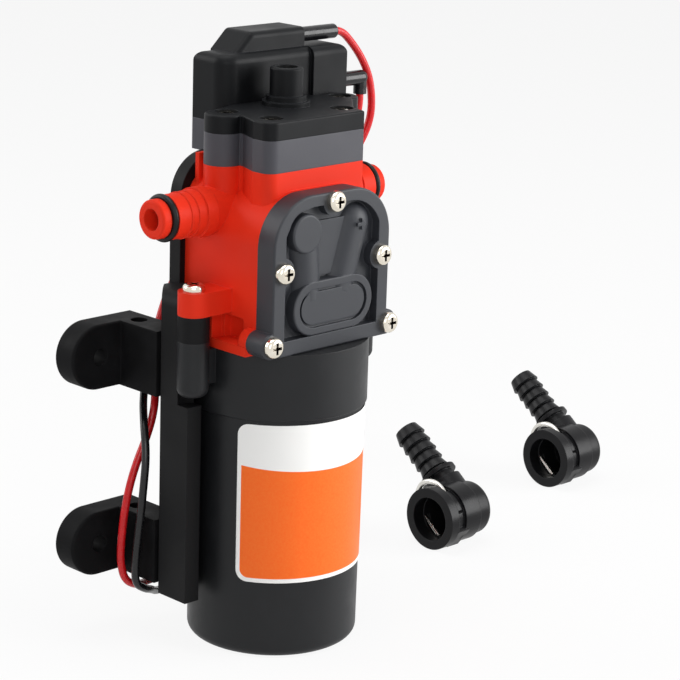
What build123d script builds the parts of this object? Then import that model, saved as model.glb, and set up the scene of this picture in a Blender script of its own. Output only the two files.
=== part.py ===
from build123d import *
from math import cos, pi, radians, sin, tan
import os

"""Twelve-volt diaphragm water pump: upright motor, pump head, pressure switch and two loose elbows.

Frame: the origin is the centre of the motor can's closed end, +Z runs up the motor axis,
-Y faces the valve cover, and the two ports leave along -X and +X. The feet are at +Y.
Sizes are millimetres.
"""

# Clearances
RUN_FIT = 0.05
SLIP_FIT = 0.15

# Motor
CAN_BASE_RADIUS = 22.5
CAN_FLARE = 0.4
CAN_HEIGHT = 64.3
CAN_WALL = 1.6
CAN_FLOOR = 4.8
CAN_EDGE_RADIUS = 2.6
SHAFT_RADIUS = 1.6
BEARING_RADIUS = 5.0
BEARING_HEIGHT = 5.0
MAGNET_THICKNESS = 3.4
MAGNET_HEIGHT = 38.0
MAGNET_BASE = 12.0
AIR_GAP = 0.6
CORE_HEIGHT = 30.0
CORE_SLOTS = 5
SLOT_WIDTH = 2.4
COMMUTATOR_RADIUS = 4.2
COMMUTATOR_HEIGHT = 8.0
BRUSH_SIZE = 3.6
LABEL_BASE = 20.9
LABEL_HEIGHT = 42.4
LABEL_HALF_ANGLE = 68.0
LABEL_THICKNESS = 0.2
LABEL_GAP = 0.16

# Motor flange and through bolts
FLANGE_PROUD = 0.7
FLANGE_HEIGHT = 17.5
FLANGE_WALL = 2.6
FLANGE_DECK = 7.0
BOLT_BOSS_RADIUS = 4.1
BOLT_OFFSET = 5.7
BOLT_RADIUS = 1.5
BOLT_LENGTH = 24.0
BOLT_HEAD_RADIUS = 2.85
BOLT_HEAD_HEIGHT = 1.9
LOWER_BOSS_HEIGHT = 14.6
BRACKET_LUG_HEIGHT = 6.7
HOUSING_BOSS_HEIGHT = 6.1

# Pump housing and cover
HEAD_HALF_WIDTH = 20.2
HEAD_HEIGHT = 40.2
HEAD_CORNER_RADIUS = 13.0
HOUSING_REAR = 14.0
HOUSING_REAR_CORNER = 10.0
HOUSING_REAR_RISE = 3.0
HOUSING_REAR_DEPTH = 7.0
HOUSING_WALL = 4.4
HOUSING_FLOOR = 3.0
HOUSING_LOBE_DEPTH = 2.8
SIDE_WALL_REACH = 3.4
SIDE_WALL_FRONT = -0.5
SIDE_WALL_REAR = 2.8
LIP_REACH = 3.5
LIP_HEIGHT = 2.4
CAVITY_HEIGHT = 24.5
COVER_FRONT = -19.3
COVER_THICKNESS = 6.1
RIM_WIDTH = 3.9
TOP_RIM_WIDTH = 3.0
RELIEF_DEPTH = 2.6
LOBE_RADIUS = 3.7
CORNER_LOBE_RADIUS = 3.3
STADIUM_LENGTH = 27.6
STADIUM_HEIGHT = 14.0
PANEL_MARGIN = 2.0
PANEL_RISE = 0.5
GROOVE_WIDTH = 0.8
WEB_GAP = 0.6
CHAMBER_DEPTH = 1.7
COVER_EDGE_RADIUS = 0.5
ARROW_SIZE = 3.0
CAP_RADIUS = 5.0
CAP_GAP = 1.0
LEFT_ARM_RADIUS = 5.6
RIGHT_ARM_RADIUS = 5.9

# Cover screws
SCREW_HEAD_RADIUS = 2.7
SCREW_HEAD_HEIGHT = 2.0
SCREW_SHANK_RADIUS = 1.4
SCREW_LENGTH = 12.0
RECESS_WIDTH = 0.75
RECESS_SPAN = 3.0
RECESS_DEPTH = 1.1

# Pumping mechanism
CRANK_OFFSET = 0.8
CRANK_RISE = 16.2
CRANK_RADIUS = 3.3
CRANK_LENGTH = 9.0
CRANK_BEARING_RADIUS = 5.5
YOKE_WALL = 1.9
YOKE_HEIGHT = 7.0
DIAPHRAGM_RADIUS = 12.4
DIAPHRAGM_THICKNESS = 0.9
VALVE_PLATE_THICKNESS = 1.8
VALVE_PLATE_RADIUS = 13.2
VALVE_RADIUS = 3.4
VALVE_SPACING = 13.0

# Ports
PORT_DROP = 6.5
PORT_DEPTH = 5.6
PORT_REACH = 38.8
PORT_BORE_RADIUS = 2.8
NOSE_RADIUS = 5.0
NOSE_LENGTH = 2.6
RING_GROOVE_WIDTH = 1.9
RING_GROOVE_RADIUS = 4.4
BARREL_RADIUS = 6.0
BARREL_LENGTH = 9.0
COLLAR_RADIUS = 6.5
COLLAR_LENGTH = 3.4
CLIP_GROOVE_RADIUS = 5.3
CLIP_GROOVE_WIDTH = 1.9
WATER_WAY_X = 11.0
WATER_WAY_RADIUS = 2.0

# Pressure switch
SWITCH_FRONT = -12.2
SWITCH_SEAT_RISE = 4.9
SWITCH_BASE_HEIGHT = 8.2
SWITCH_COVER_HEIGHT = 4.65
SWITCH_LEFT = -16.0
SWITCH_RIGHT = 16.65
SWITCH_CORNER_RADIUS = 3.0
SWITCH_EDGE_RADIUS = 0.5
LEFT_BOSS = (-15.0, 6.0)
RIGHT_BOSS = (27.4, 7.8)
LEFT_WELL = (-12.9, 7.2)
FRONT_LEFT_WELL = (-10.2, -6.3)
FRONT_RIGHT_WELL = (14.6, -6.0)
SWITCH_BOSS_RADIUS = 4.9
WELL_RADIUS = 3.1
WELL_DEPTH = 2.4
TOWER = (6.0, PORT_DEPTH)
TOWER_HEIGHT = 9.85
TOWER_RADIUS = 4.3
SKIRT_RADIUS = 6.2
SKIRT_HEIGHT = 1.2
COLLAR_STEP_RADIUS = 5.2
COLLAR_STEP_HEIGHT = 2.6
TOWER_BORE_RADIUS = 2.9
ADJUSTER_RADIUS = 2.55
ADJUSTER_HEIGHT = 3.2
SPRING_WIRE_RADIUS = 0.35
SPRING_RADIUS = 2.1
SPRING_TURNS = 7
PISTON_RADIUS = 5.4
PISTON_THICKNESS = 1.8
CHAMBER_RADIUS = 6.0
PRESSURE_WAY_RADIUS = 1.2

# Switch housing behind the switch
HOUSE_LEFT = -8.2
HOUSE_RIGHT = 34.2
HOUSE_FRONT = 13.3
HOUSE_REAR = 25.6
HOUSE_HEIGHT = 17.2
HOUSE_EDGE_RADIUS = 2.4
HOUSE_CORNER_RADIUS = 4.5
HOUSE_STEP_X = 22.0
HOUSE_STEP_DEPTH = 1.1
RIDGE_HEIGHT = 5.0
RIDGE_FRONT = 15.6
RIDGE_FOOT_LEFT = -2.3
RIDGE_CREST_LEFT = 3.0
RIDGE_RIGHT = 21.6
RIDGE_CREST_RADIUS = 2.0
RIDGE_EDGE_RADIUS = 1.6
SEAT_RIB_X = (-18.2, -15.6)
SEAT_RIB_Y = (11.4, 12.8)
SEAT_RIB_RISE = 2.1

# Terminals and leads
TAB_WIDTH = 2.8
TAB_THICKNESS = 0.8
UPPER_TAB_DEPTH = 18.0
UPPER_TAB_DROP = 2.3
LOWER_TAB_DEPTH = 17.0
LOWER_TAB_RISE = 6.7
SLEEVE_RADIUS = 1.95
SLEEVE_LENGTH = 13.2
BOOT_RADIUS = 2.0
BOOT_REACH = 10.0
BOOT_DROP = 4.4
LEAD_RADIUS = 1.05
WIRE_RADIUS = 0.6
WIRE_LENGTH = 6.0
GROMMET_ANGLE = 26.7
GROMMET_HEIGHT = 9.6
GROMMET_RADIUS = 3.6
GROMMET_PLUG_RADIUS = 2.9
GROMMET_PITCH = 3.0
RED_JOINT = (-15.8, 28.3, 83.1)

# Bracket and feet
BRACKET_MARGIN = 1.5
BRACKET_REAR = 10.6
BRACKET_FRONT = 0.0
BRACKET_BASE = 14.0
BRACKET_TOP = 91.0
SHOULDER_TOP = 95.2
SHOULDER_FRONT = 4.5
SHOULDER_REAR = 15.9
SHOULDER_RADIUS = 3.4
BRACKET_WALL = 4.6
CRADLE_WALL = 3.4
ARCH_HALF_WIDTH = 21.9
ARCH_CORNER_RADIUS = 11.0
ARCH_RISE = 3.2
ARCH_THICKNESS = 4.0
FOOT_THICKNESS = 6.9
FOOT_SET_BACK = 1.4
FOOT_MARGIN = 0.7
FOOT_ARM = 8.6
FOOT_HEIGHT = 17.2
EAR_LENGTH = 15.8
EAR_HOLE_REACH = 6.7
HOLE_SPACING_Z = 50.6
LOWER_HOLE_HEIGHT = 25.2
FOOT_HOLE_RADIUS = 2.25
CORE_HOLE_RADIUS = 2.2
CORE_HOLE_DEPTH = 6.0
EAR_EDGE_RADIUS = 0.7

# Loose elbows
SOCKET_RADIUS = 9.2
SOCKET_BORE_RADIUS = 6.25
SOCKET_LENGTH = 15.0
SOCKET_DEPTH = 12.0
MOUTH_RADIUS = 6.45
MOUTH_DEPTH = 4.2
RIM_LENGTH = 3.2
BODY_RADIUS = 7.9
BARB_CREST_RADIUS = 4.5
BARB_ROOT_RADIUS = 3.6
BARB_PITCH = 3.2
BARB_COUNT = 5
BARB_BORE_RADIUS = 2.6
NECK_RADIUS = 4.4
NECK_LENGTH = 7.0
DISC_RADIUS = 5.8
DISC_THICKNESS = 1.2
CLIP_WIRE_RADIUS = 0.8
CLIP_LEG_SPREAD = 5.9
CLIP_INSET = 5.4
CLIP_CROWN = 2.1
SLOT_CLEARANCE = 0.3
BARB_LIFT_ANGLE = 38.0
ELBOWS = {"1": (76.0, 14.0), "2": (146.0, 30.0)}

CAN_TOP_RADIUS = CAN_BASE_RADIUS + CAN_FLARE
FLANGE_RADIUS = CAN_TOP_RADIUS + FLANGE_PROUD
BOLT_X = FLANGE_RADIUS + BOLT_OFFSET
BRACKET_HALF_WIDTH = BOLT_X + BRACKET_MARGIN
CRADLE_REAR = FLANGE_RADIUS + CRADLE_WALL
FOOT_FACE = CRADLE_REAR - FOOT_SET_BACK
FOOT_WALL = BRACKET_HALF_WIDTH + FOOT_MARGIN
FOOT_REACH = FOOT_WALL + EAR_LENGTH
HOLE_X = FOOT_WALL + EAR_HOLE_REACH
FLANGE_TOP = CAN_HEIGHT + FLANGE_HEIGHT
HEAD_BOTTOM = FLANGE_TOP
HEAD_TOP = HEAD_BOTTOM + HEAD_HEIGHT
CRANK_HEIGHT = HEAD_BOTTOM + CRANK_RISE
PORT_HEIGHT = HEAD_TOP - PORT_DROP
COVER_BACK = COVER_FRONT + COVER_THICKNESS
SWITCH_BASE_BOTTOM = HEAD_TOP + SWITCH_SEAT_RISE
SWITCH_BASE_TOP = SWITCH_BASE_BOTTOM + SWITCH_BASE_HEIGHT
SWITCH_COVER_TOP = SWITCH_BASE_TOP + SWITCH_COVER_HEIGHT
TOWER_TOP = SWITCH_COVER_TOP + TOWER_HEIGHT
HOUSE_TOP = SWITCH_BASE_TOP + HOUSE_HEIGHT
RIDGE_TOP = HOUSE_TOP + RIDGE_HEIGHT
UPPER_TAB_HEIGHT = RIDGE_TOP - UPPER_TAB_DROP
LOWER_TAB_HEIGHT = SWITCH_BASE_TOP + LOWER_TAB_RISE
LUG_BOTTOM = BRACKET_TOP - BRACKET_LUG_HEIGHT
BOSS_TOP = BRACKET_TOP + HOUSING_BOSS_HEIGHT
BEARING_TOP = FLANGE_TOP - 2.0
MAGNET_OUTER = CAN_BASE_RADIUS - CAN_WALL
CORE_RADIUS = MAGNET_OUTER - MAGNET_THICKNESS - AIR_GAP
MAGNET_INNER = MAGNET_OUTER - MAGNET_THICKNESS
CORE_BASE = MAGNET_BASE + (MAGNET_HEIGHT - CORE_HEIGHT) / 2
COMMUTATOR_BASE = CORE_BASE + CORE_HEIGHT + 3.0
YOKE_HALF = CRANK_BEARING_RADIUS + 2 * CRANK_OFFSET + 0.2
YOKE_FRONT = -(YOKE_HALF + YOKE_WALL)
DIAPHRAGM_FRONT = YOKE_FRONT - DIAPHRAGM_THICKNESS
CAVITY_HALF_WIDTH = HEAD_HALF_WIDTH - HOUSING_WALL
CAVITY_BOTTOM = HEAD_BOTTOM + HOUSING_FLOOR
PISTON_BOTTOM = SWITCH_BASE_BOTTOM + 1.4
PISTON_TOP = PISTON_BOTTOM + PISTON_THICKNESS
ADJUSTER_BOTTOM = TOWER_TOP - 1.0 - ADJUSTER_HEIGHT
UPPER_HOLE_HEIGHT = LOWER_HOLE_HEIGHT + HOLE_SPACING_Z
FOOT_REAR = FOOT_FACE + FOOT_THICKNESS

TAIL_X = SOCKET_LENGTH - 1.0
CLIP_FOOT_HEIGHT = CLIP_WIRE_RADIUS - 0.45 * SOCKET_RADIUS
CAP_CENTRE = (-9.5, HEAD_BOTTOM + 30.7)
ARROW_CENTRE = (9.0, HEAD_BOTTOM + 30.9)
PANEL_HEIGHT = HEAD_BOTTOM + 11.2

COVER_SCREWS = {
    "bottom_left": (-20.3, HEAD_BOTTOM + 3.3),
    "bottom_right": (20.3, HEAD_BOTTOM + 3.3),
    "middle_left": (-17.06, HEAD_BOTTOM + 21.7),
    "middle_right": (17.06, HEAD_BOTTOM + 21.7),
    "top": (0.0, HEAD_TOP - 2.4),
}
SWITCH_SCREWS = {
    "left": LEFT_WELL,
    "right": RIGHT_BOSS,
    "front_left": FRONT_LEFT_WELL,
    "front_right": FRONT_RIGHT_WELL,
}


def cylinder_z(radius, bottom, top, at=(0.0, 0.0)):
    """Round bar along Z between two heights."""
    bar = Cylinder(radius, top - bottom, align=(Align.CENTER, Align.CENTER, Align.MIN))
    return Pos(at[0], at[1], bottom) * bar


def cylinder_y(radius, front, back, at=(0.0, 0.0)):
    """Round bar along Y; at is its X and Z."""
    bar = Cylinder(radius, back - front, align=(Align.CENTER, Align.CENTER, Align.MIN))
    return Pos(at[0], front, at[1]) * Rot(-90, 0, 0) * bar


def cylinder_x(radius, left, right, at=(0.0, 0.0)):
    """Round bar along X; at is its Y and Z."""
    bar = Cylinder(radius, right - left, align=(Align.CENTER, Align.CENTER, Align.MIN))
    return Pos(left, at[0], at[1]) * Rot(0, 90, 0) * bar


def block(x0, x1, y0, y1, z0, z1):
    """Box between two corners."""
    return Pos((x0 + x1) / 2, (y0 + y1) / 2, (z0 + z1) / 2) * Box(x1 - x0, y1 - y0, z1 - z0)


def front_prism(sketch, front, back):
    """Extrude an XZ sketch from its back plane to its front plane."""
    plane = Plane(origin=(0, back, 0), x_dir=(1, 0, 0), z_dir=(0, -1, 0))
    return extrude(plane * sketch, back - front)


def plan_prism(sketch, bottom, top):
    """Extrude an XY sketch between two heights."""
    return extrude(Pos(0, 0, bottom) * sketch, top - bottom)


def head_outline(half_width, bottom, top, corner, inset=0.0):
    """XZ outline of the pump head: square foot and two large round shoulders."""
    width = 2 * (half_width - inset)
    height = top - bottom - 2 * inset
    sketch = Pos(0, (top + bottom) / 2) * Rectangle(width, height)
    return fillet(sketch.vertices().sort_by(Axis.Y)[-2:], corner - inset)


def cross_recess(top):
    """Phillips recess, cut down from the height top on the Z axis."""
    slots = Box(RECESS_SPAN, RECESS_WIDTH, RECESS_DEPTH) + Box(RECESS_WIDTH, RECESS_SPAN, RECESS_DEPTH)
    return Pos(0, 0, top - RECESS_DEPTH / 2) * slots


def pan_screw(head_radius, head_height, shank_radius, length):
    """Pan-head screw standing on the XY plane with its shank down -Z."""
    head = cylinder_z(head_radius, 0, head_height)
    head = fillet(head.edges().sort_by(Axis.Z)[-1:], head_height * 0.55)
    return head + cylinder_z(shank_radius, -length, 0.01) - cross_recess(head_height)


def motor_can():
    """Drawn can, open at the top, with a bearing pocket and round bottom edge."""
    edge_start = (CAN_BASE_RADIUS - CAN_EDGE_RADIUS, 0)
    edge_end = (CAN_BASE_RADIUS, CAN_EDGE_RADIUS)
    inside = CAN_BASE_RADIUS - CAN_WALL
    with BuildSketch(Plane.XZ) as half:
        with BuildLine():
            Polyline((0, 0), edge_start)
            RadiusArc(edge_start, edge_end, -CAN_EDGE_RADIUS)
            Polyline(edge_end, (CAN_TOP_RADIUS, CAN_HEIGHT), (inside, CAN_HEIGHT))
            Polyline((inside, CAN_HEIGHT), (inside, CAN_FLOOR), (0, CAN_FLOOR), (0, 0))
        make_face()
    can = revolve(half.sketch, Axis.Z)
    pocket = cylinder_z(BEARING_RADIUS, CAN_WALL, 4 * CAN_WALL)
    hole = cylinder_y(GROMMET_PLUG_RADIUS + RUN_FIT, 15, CAN_BASE_RADIUS + 2, (0, GROMMET_HEIGHT))
    return can - pocket - Rot(0, 0, GROMMET_ANGLE) * hole


def bearing(bottom):
    """Plain ring bearing round the motor shaft."""
    return cylinder_z(BEARING_RADIUS - RUN_FIT, bottom, bottom + BEARING_HEIGHT) - cylinder_z(
        SHAFT_RADIUS + RUN_FIT, bottom - 1, bottom + BEARING_HEIGHT + 1
    )


def magnet(side):
    """Arc magnet bonded to the can wall."""
    ring = cylinder_z(MAGNET_OUTER - RUN_FIT, MAGNET_BASE, MAGNET_BASE + MAGNET_HEIGHT)
    ring -= cylinder_z(MAGNET_INNER, MAGNET_BASE - 1, MAGNET_BASE + MAGNET_HEIGHT + 1)
    reach = MAGNET_OUTER + 1
    keep = block(0, reach, -reach * 0.82, reach * 0.82, MAGNET_BASE, MAGNET_BASE + MAGNET_HEIGHT)
    keep = keep if side > 0 else mirror(keep, Plane.YZ)
    return ring & keep


def armature():
    """Slotted core, windings, commutator and shaft with the crank at its upper end."""
    core = cylinder_z(CORE_RADIUS, CORE_BASE, CORE_BASE + CORE_HEIGHT)
    slot = block(CORE_RADIUS * 0.42, CORE_RADIUS + 1, -SLOT_WIDTH / 2, SLOT_WIDTH / 2,
                 CORE_BASE - 1, CORE_BASE + CORE_HEIGHT + 1)
    for index in range(CORE_SLOTS):
        core -= Rot(0, 0, 360 * index / CORE_SLOTS) * slot
    ends = cylinder_z(CORE_RADIUS * 0.72, CORE_BASE - 2.5, COMMUTATOR_BASE + 0.01)
    commutator = cylinder_z(COMMUTATOR_RADIUS, COMMUTATOR_BASE, COMMUTATOR_BASE + COMMUTATOR_HEIGHT)
    shaft = cylinder_z(SHAFT_RADIUS, CAN_WALL + 0.4, CRANK_HEIGHT + CRANK_LENGTH / 2)
    return core + ends + commutator + shaft


def crank():
    """Eccentric pressed on the shaft."""
    low = CRANK_HEIGHT - CRANK_LENGTH / 2
    body = cylinder_z(CRANK_RADIUS, low, low + CRANK_LENGTH, (0, -CRANK_OFFSET))
    body += cylinder_z(CRANK_RADIUS + 0.8, low - 1.2, low, (0, -CRANK_OFFSET))
    return body - cylinder_z(SHAFT_RADIUS + RUN_FIT, low - 2, low + CRANK_LENGTH + 1)


def crank_bearing():
    """Ball bearing round the eccentric, as one ring."""
    low = CRANK_HEIGHT - YOKE_HEIGHT / 2
    ring = cylinder_z(CRANK_BEARING_RADIUS, low, low + YOKE_HEIGHT, (0, -CRANK_OFFSET))
    return ring - cylinder_z(CRANK_RADIUS + RUN_FIT, low - 1, low + YOKE_HEIGHT + 1, (0, -CRANK_OFFSET))


def brush(side):
    """Carbon brush on the commutator."""
    middle = COMMUTATOR_BASE + COMMUTATOR_HEIGHT / 2
    half = BRUSH_SIZE / 2
    inner = COMMUTATOR_RADIUS + RUN_FIT
    bar = block(inner, inner + 7.0, -half, half, middle - half, middle + half)
    return bar if side > 0 else mirror(bar, Plane.YZ)


def label_band():
    """Thin printed wrap on the front of the can."""
    taper = (CAN_TOP_RADIUS - CAN_BASE_RADIUS) / (CAN_HEIGHT - CAN_EDGE_RADIUS)
    low_radius = CAN_BASE_RADIUS + taper * (LABEL_BASE - CAN_EDGE_RADIUS)
    high_radius = low_radius + taper * LABEL_HEIGHT
    frame = Pos(0, 0, LABEL_BASE)
    align = (Align.CENTER, Align.CENTER, Align.MIN)
    out, gap = LABEL_GAP + LABEL_THICKNESS, LABEL_GAP
    outer = frame * Cone(low_radius + out, high_radius + out, LABEL_HEIGHT, align=align)
    inner = frame * Cone(low_radius + gap, high_radius + gap, LABEL_HEIGHT, align=align)
    reach = CAN_TOP_RADIUS + 10
    edge = radians(90 - LABEL_HALF_ANGLE)
    wedge = make_face(Polyline(
        (0, 0), (-reach * cos(edge), -reach * sin(edge)), (-reach, -reach * 1.4), (reach, -reach * 1.4),
        (reach * cos(edge), -reach * sin(edge)), close=True,
    ))
    return (outer - inner) & plan_prism(wedge, LABEL_BASE, LABEL_BASE + LABEL_HEIGHT)


def motor_flange():
    """Ring that closes the can, with the front bearing seat and two bolt bosses."""
    ring = cylinder_z(FLANGE_RADIUS, CAN_HEIGHT, FLANGE_TOP)
    ring = fillet(ring.edges().group_by(Axis.Z)[0], 0.6)
    inside = FLANGE_RADIUS - FLANGE_WALL
    ring -= cylinder_z(inside, CAN_HEIGHT - 1, FLANGE_TOP - FLANGE_DECK)
    low = LUG_BOTTOM - LOWER_BOSS_HEIGHT
    for side in (-1, 1):
        boss = cylinder_z(BOLT_BOSS_RADIUS, low, LUG_BOTTOM, (side * BOLT_X, 0))
        boss = fillet(boss.edges().group_by(Axis.Z)[0], 2.4)
        web = block(min(side * BOLT_X, side * (inside + 1)), max(side * BOLT_X, side * (inside + 1)),
                    -2.0, 2.0, low + 3.0, FLANGE_TOP)
        ring += boss + web
        ring -= cylinder_z(BOLT_RADIUS + SLIP_FIT, low + 3.0, LUG_BOTTOM + 1, (side * BOLT_X, 0))
    ring -= cylinder_z(BEARING_RADIUS, FLANGE_TOP - FLANGE_DECK - 1, BEARING_TOP)
    return ring - cylinder_z(SHAFT_RADIUS + 1.0, BEARING_TOP - 1, FLANGE_TOP + 1)


def through_bolt(side):
    """Pan-head bolt that clamps housing, bracket and motor flange."""
    screw = pan_screw(BOLT_HEAD_RADIUS, BOLT_HEAD_HEIGHT, BOLT_RADIUS, BOLT_LENGTH)
    return Pos(side * BOLT_X, 0, BOSS_TOP) * screw


def port_stub(side):
    """Tapered nipple with O-ring groove, clip groove and collar; bore cut separately."""
    tip = PORT_REACH
    groove = tip - NOSE_LENGTH
    step = groove - RING_GROOVE_WIDTH
    barrel_end = step - BARREL_LENGTH
    collar_end = barrel_end - COLLAR_LENGTH
    clip = barrel_end + 2.6
    at = (PORT_DEPTH, PORT_HEIGHT)
    nose = cylinder_x(NOSE_RADIUS, groove, tip, at)
    nose = fillet(nose.edges().group_by(Axis.X)[-1], 0.7)
    stub = nose + cylinder_x(RING_GROOVE_RADIUS, step - 0.01, groove + 0.01, at)
    stub += cylinder_x(BARREL_RADIUS - 0.25, step - 4.0, step, at)
    stub += cylinder_x(BARREL_RADIUS, clip + CLIP_GROOVE_WIDTH, step - 4.0, at)
    stub += cylinder_x(CLIP_GROOVE_RADIUS + 0.4, clip, clip + CLIP_GROOVE_WIDTH, at)
    stub += cylinder_x(BARREL_RADIUS, barrel_end, clip, at)
    stub += cylinder_x(COLLAR_RADIUS, collar_end, barrel_end, at)
    stub += cylinder_x(COLLAR_RADIUS - 0.4, HEAD_HALF_WIDTH - 8.0, collar_end, at)
    return stub if side > 0 else mirror(stub, Plane.YZ)


def port_ring(side):
    """O-ring in the port's groove."""
    middle = PORT_REACH - NOSE_LENGTH - RING_GROOVE_WIDTH / 2
    section = RING_GROOVE_WIDTH / 2 - 0.1
    ring = Torus(RING_GROOVE_RADIUS + section, section)
    return Pos(side * middle, PORT_DEPTH, PORT_HEIGHT) * Rot(0, 90, 0) * ring


def switch_plan():
    """XY outline of the switch up to its housing: straight front, two rear bosses, drawn-in left side."""
    rear = HOUSE_FRONT + 0.6
    body = make_face(Polyline(
        (SWITCH_LEFT, SWITCH_FRONT), (SWITCH_RIGHT, SWITCH_FRONT), (SWITCH_RIGHT + 1.6, SWITCH_FRONT + 5.5),
        (RIGHT_BOSS[0], RIGHT_BOSS[1] - SWITCH_BOSS_RADIUS), (RIGHT_BOSS[0], rear), (HOUSE_LEFT + 3.0, rear),
        (LEFT_BOSS[0], LEFT_BOSS[1] + SWITCH_BOSS_RADIUS - 0.4),
        (LEFT_BOSS[0] + 1.4, LEFT_BOSS[1] - SWITCH_BOSS_RADIUS - 1.0), (SWITCH_LEFT, SWITCH_FRONT + 6.2), close=True,
    ))
    corner = body.vertices().sort_by_distance(Vector(SWITCH_LEFT, SWITCH_FRONT))[0]
    body = fillet([corner], SWITCH_CORNER_RADIUS)
    for centre in (LEFT_BOSS, RIGHT_BOSS):
        body += Pos(*centre) * Circle(SWITCH_BOSS_RADIUS)
    return body


def house_plans():
    """XY outlines of the switch housing: the main part and the terminal end, a step further forward."""
    main = make_face(Polyline(
        (HOUSE_LEFT, HOUSE_REAR), (HOUSE_LEFT, HOUSE_FRONT), (HOUSE_STEP_X, HOUSE_FRONT),
        (HOUSE_STEP_X, HOUSE_REAR), close=True,
    ))
    corner = main.vertices().sort_by_distance(Vector(HOUSE_LEFT, HOUSE_FRONT))[0]
    terminal_front = HOUSE_FRONT - HOUSE_STEP_DEPTH
    middle = ((HOUSE_STEP_X + HOUSE_RIGHT) / 2, (terminal_front + HOUSE_REAR) / 2)
    terminal = Pos(*middle) * Rectangle(HOUSE_RIGHT - HOUSE_STEP_X, HOUSE_REAR - terminal_front)
    return fillet([corner], HOUSE_CORNER_RADIUS), terminal


def base_plan():
    """XY outline of the switch base, which also carries the housing."""
    main, terminal = house_plans()
    return switch_plan() + main + terminal


def pump_housing():
    """Orange moulding: shouldered body, rear shoulders, switch seat, ports and bolt bosses."""
    front = head_outline(HEAD_HALF_WIDTH, HEAD_BOTTOM, HEAD_TOP, HEAD_CORNER_RADIUS)
    body = front_prism(front, COVER_BACK, HOUSING_REAR)
    rear = head_outline(HEAD_HALF_WIDTH, HEAD_BOTTOM, HEAD_TOP + HOUSING_REAR_RISE, HOUSING_REAR_CORNER)
    body += front_prism(rear, HOUSING_REAR - HOUSING_REAR_DEPTH, HOUSING_REAR)
    middle, depth = (SWITCH_FRONT + HOUSING_REAR) / 2, HOUSING_REAR - SWITCH_FRONT
    seat = base_plan() & (Pos(0, middle) * Rectangle(2 * HEAD_HALF_WIDTH, depth))
    body += plan_prism(seat, PORT_HEIGHT - 1.0, SWITCH_BASE_BOTTOM)
    body += block(*SEAT_RIB_X, *SEAT_RIB_Y, PORT_HEIGHT, SWITCH_BASE_BOTTOM + SEAT_RIB_RISE)
    for side in (-1, 1):
        boss = cylinder_z(BOLT_BOSS_RADIUS, BRACKET_TOP, BOSS_TOP, (side * BOLT_X, 0))
        inner = side * (HEAD_HALF_WIDTH - 1.0)
        web = block(min(side * BOLT_X, inner), max(side * BOLT_X, inner),
                    -BOLT_BOSS_RADIUS, BOLT_BOSS_RADIUS, BRACKET_TOP, BOSS_TOP)
        body += boss + web
        body -= cylinder_z(BOLT_RADIUS + SLIP_FIT, BRACKET_TOP - 1, BOSS_TOP + 1, (side * BOLT_X, 0))
    lip = HEAD_HALF_WIDTH + LIP_REACH
    body += block(-lip, lip, COVER_BACK, BOLT_BOSS_RADIUS, HEAD_BOTTOM, HEAD_BOTTOM + LIP_HEIGHT)
    lobe_back = COVER_BACK + HOUSING_LOBE_DEPTH
    for name in ("bottom_left", "bottom_right"):
        body += cylinder_y(CORNER_LOBE_RADIUS, COVER_BACK, lobe_back, COVER_SCREWS[name])
    wall = block(HEAD_HALF_WIDTH - 1, HEAD_HALF_WIDTH + SIDE_WALL_REACH, SIDE_WALL_FRONT, SIDE_WALL_REAR,
                 HEAD_BOTTOM + LIP_HEIGHT - 0.1, BRACKET_TOP + 0.1)
    body += wall + mirror(wall, Plane.YZ)
    for side in (-1, 1):
        body += port_stub(side)
    return body - housing_cuts()


def housing_cuts():
    """Crank cavity, diaphragm window, valve pocket, water ways, screw holes and side notches."""
    span = 2 * CAVITY_HALF_WIDTH
    cavity = Pos(0, CAVITY_BOTTOM + CAVITY_HEIGHT / 2) * RectangleRounded(span, CAVITY_HEIGHT, 6.0)
    cuts = front_prism(cavity, DIAPHRAGM_FRONT + 1.0, HOUSING_REAR + 1)
    cuts += cylinder_y(DIAPHRAGM_RADIUS + SLIP_FIT, COVER_BACK - 1, 0, (0, CRANK_HEIGHT))
    plate_back = COVER_BACK + VALVE_PLATE_THICKNESS
    cuts += cylinder_y(VALVE_PLATE_RADIUS + SLIP_FIT, COVER_BACK - 1, plate_back, (0, CRANK_HEIGHT))
    cuts += cylinder_z(BEARING_RADIUS + 1.5, HEAD_BOTTOM - 1, CAVITY_BOTTOM + 1)
    blind_ends = {-1: WATER_WAY_X - PORT_BORE_RADIUS, 1: TOWER[0] - PRESSURE_WAY_RADIUS - 0.8}
    for side, blind_end in blind_ends.items():
        start, end = sorted((side * blind_end, side * (PORT_REACH + 1)))
        cuts += cylinder_x(PORT_BORE_RADIUS, start, end, (PORT_DEPTH, PORT_HEIGHT))
        cuts += cylinder_y(WATER_WAY_RADIUS, COVER_BACK - 1, PORT_DEPTH, (side * WATER_WAY_X, PORT_HEIGHT))
        low = side * (HEAD_HALF_WIDTH + 0.5)
        high = side * (HEAD_HALF_WIDTH - 2.2)
        cuts += block(min(low, high), max(low, high), -8.5, -1.5, HEAD_BOTTOM + LIP_HEIGHT, BRACKET_TOP - 0.8)
    cuts += cylinder_z(PRESSURE_WAY_RADIUS, PORT_HEIGHT, SWITCH_BASE_BOTTOM + 1, TOWER)
    for x, z in COVER_SCREWS.values():
        end = COVER_FRONT + screw_length(z) + 0.5
        cuts += cylinder_y(SCREW_SHANK_RADIUS + SLIP_FIT, COVER_BACK - 1, end, (x, z))
    return cuts


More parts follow.
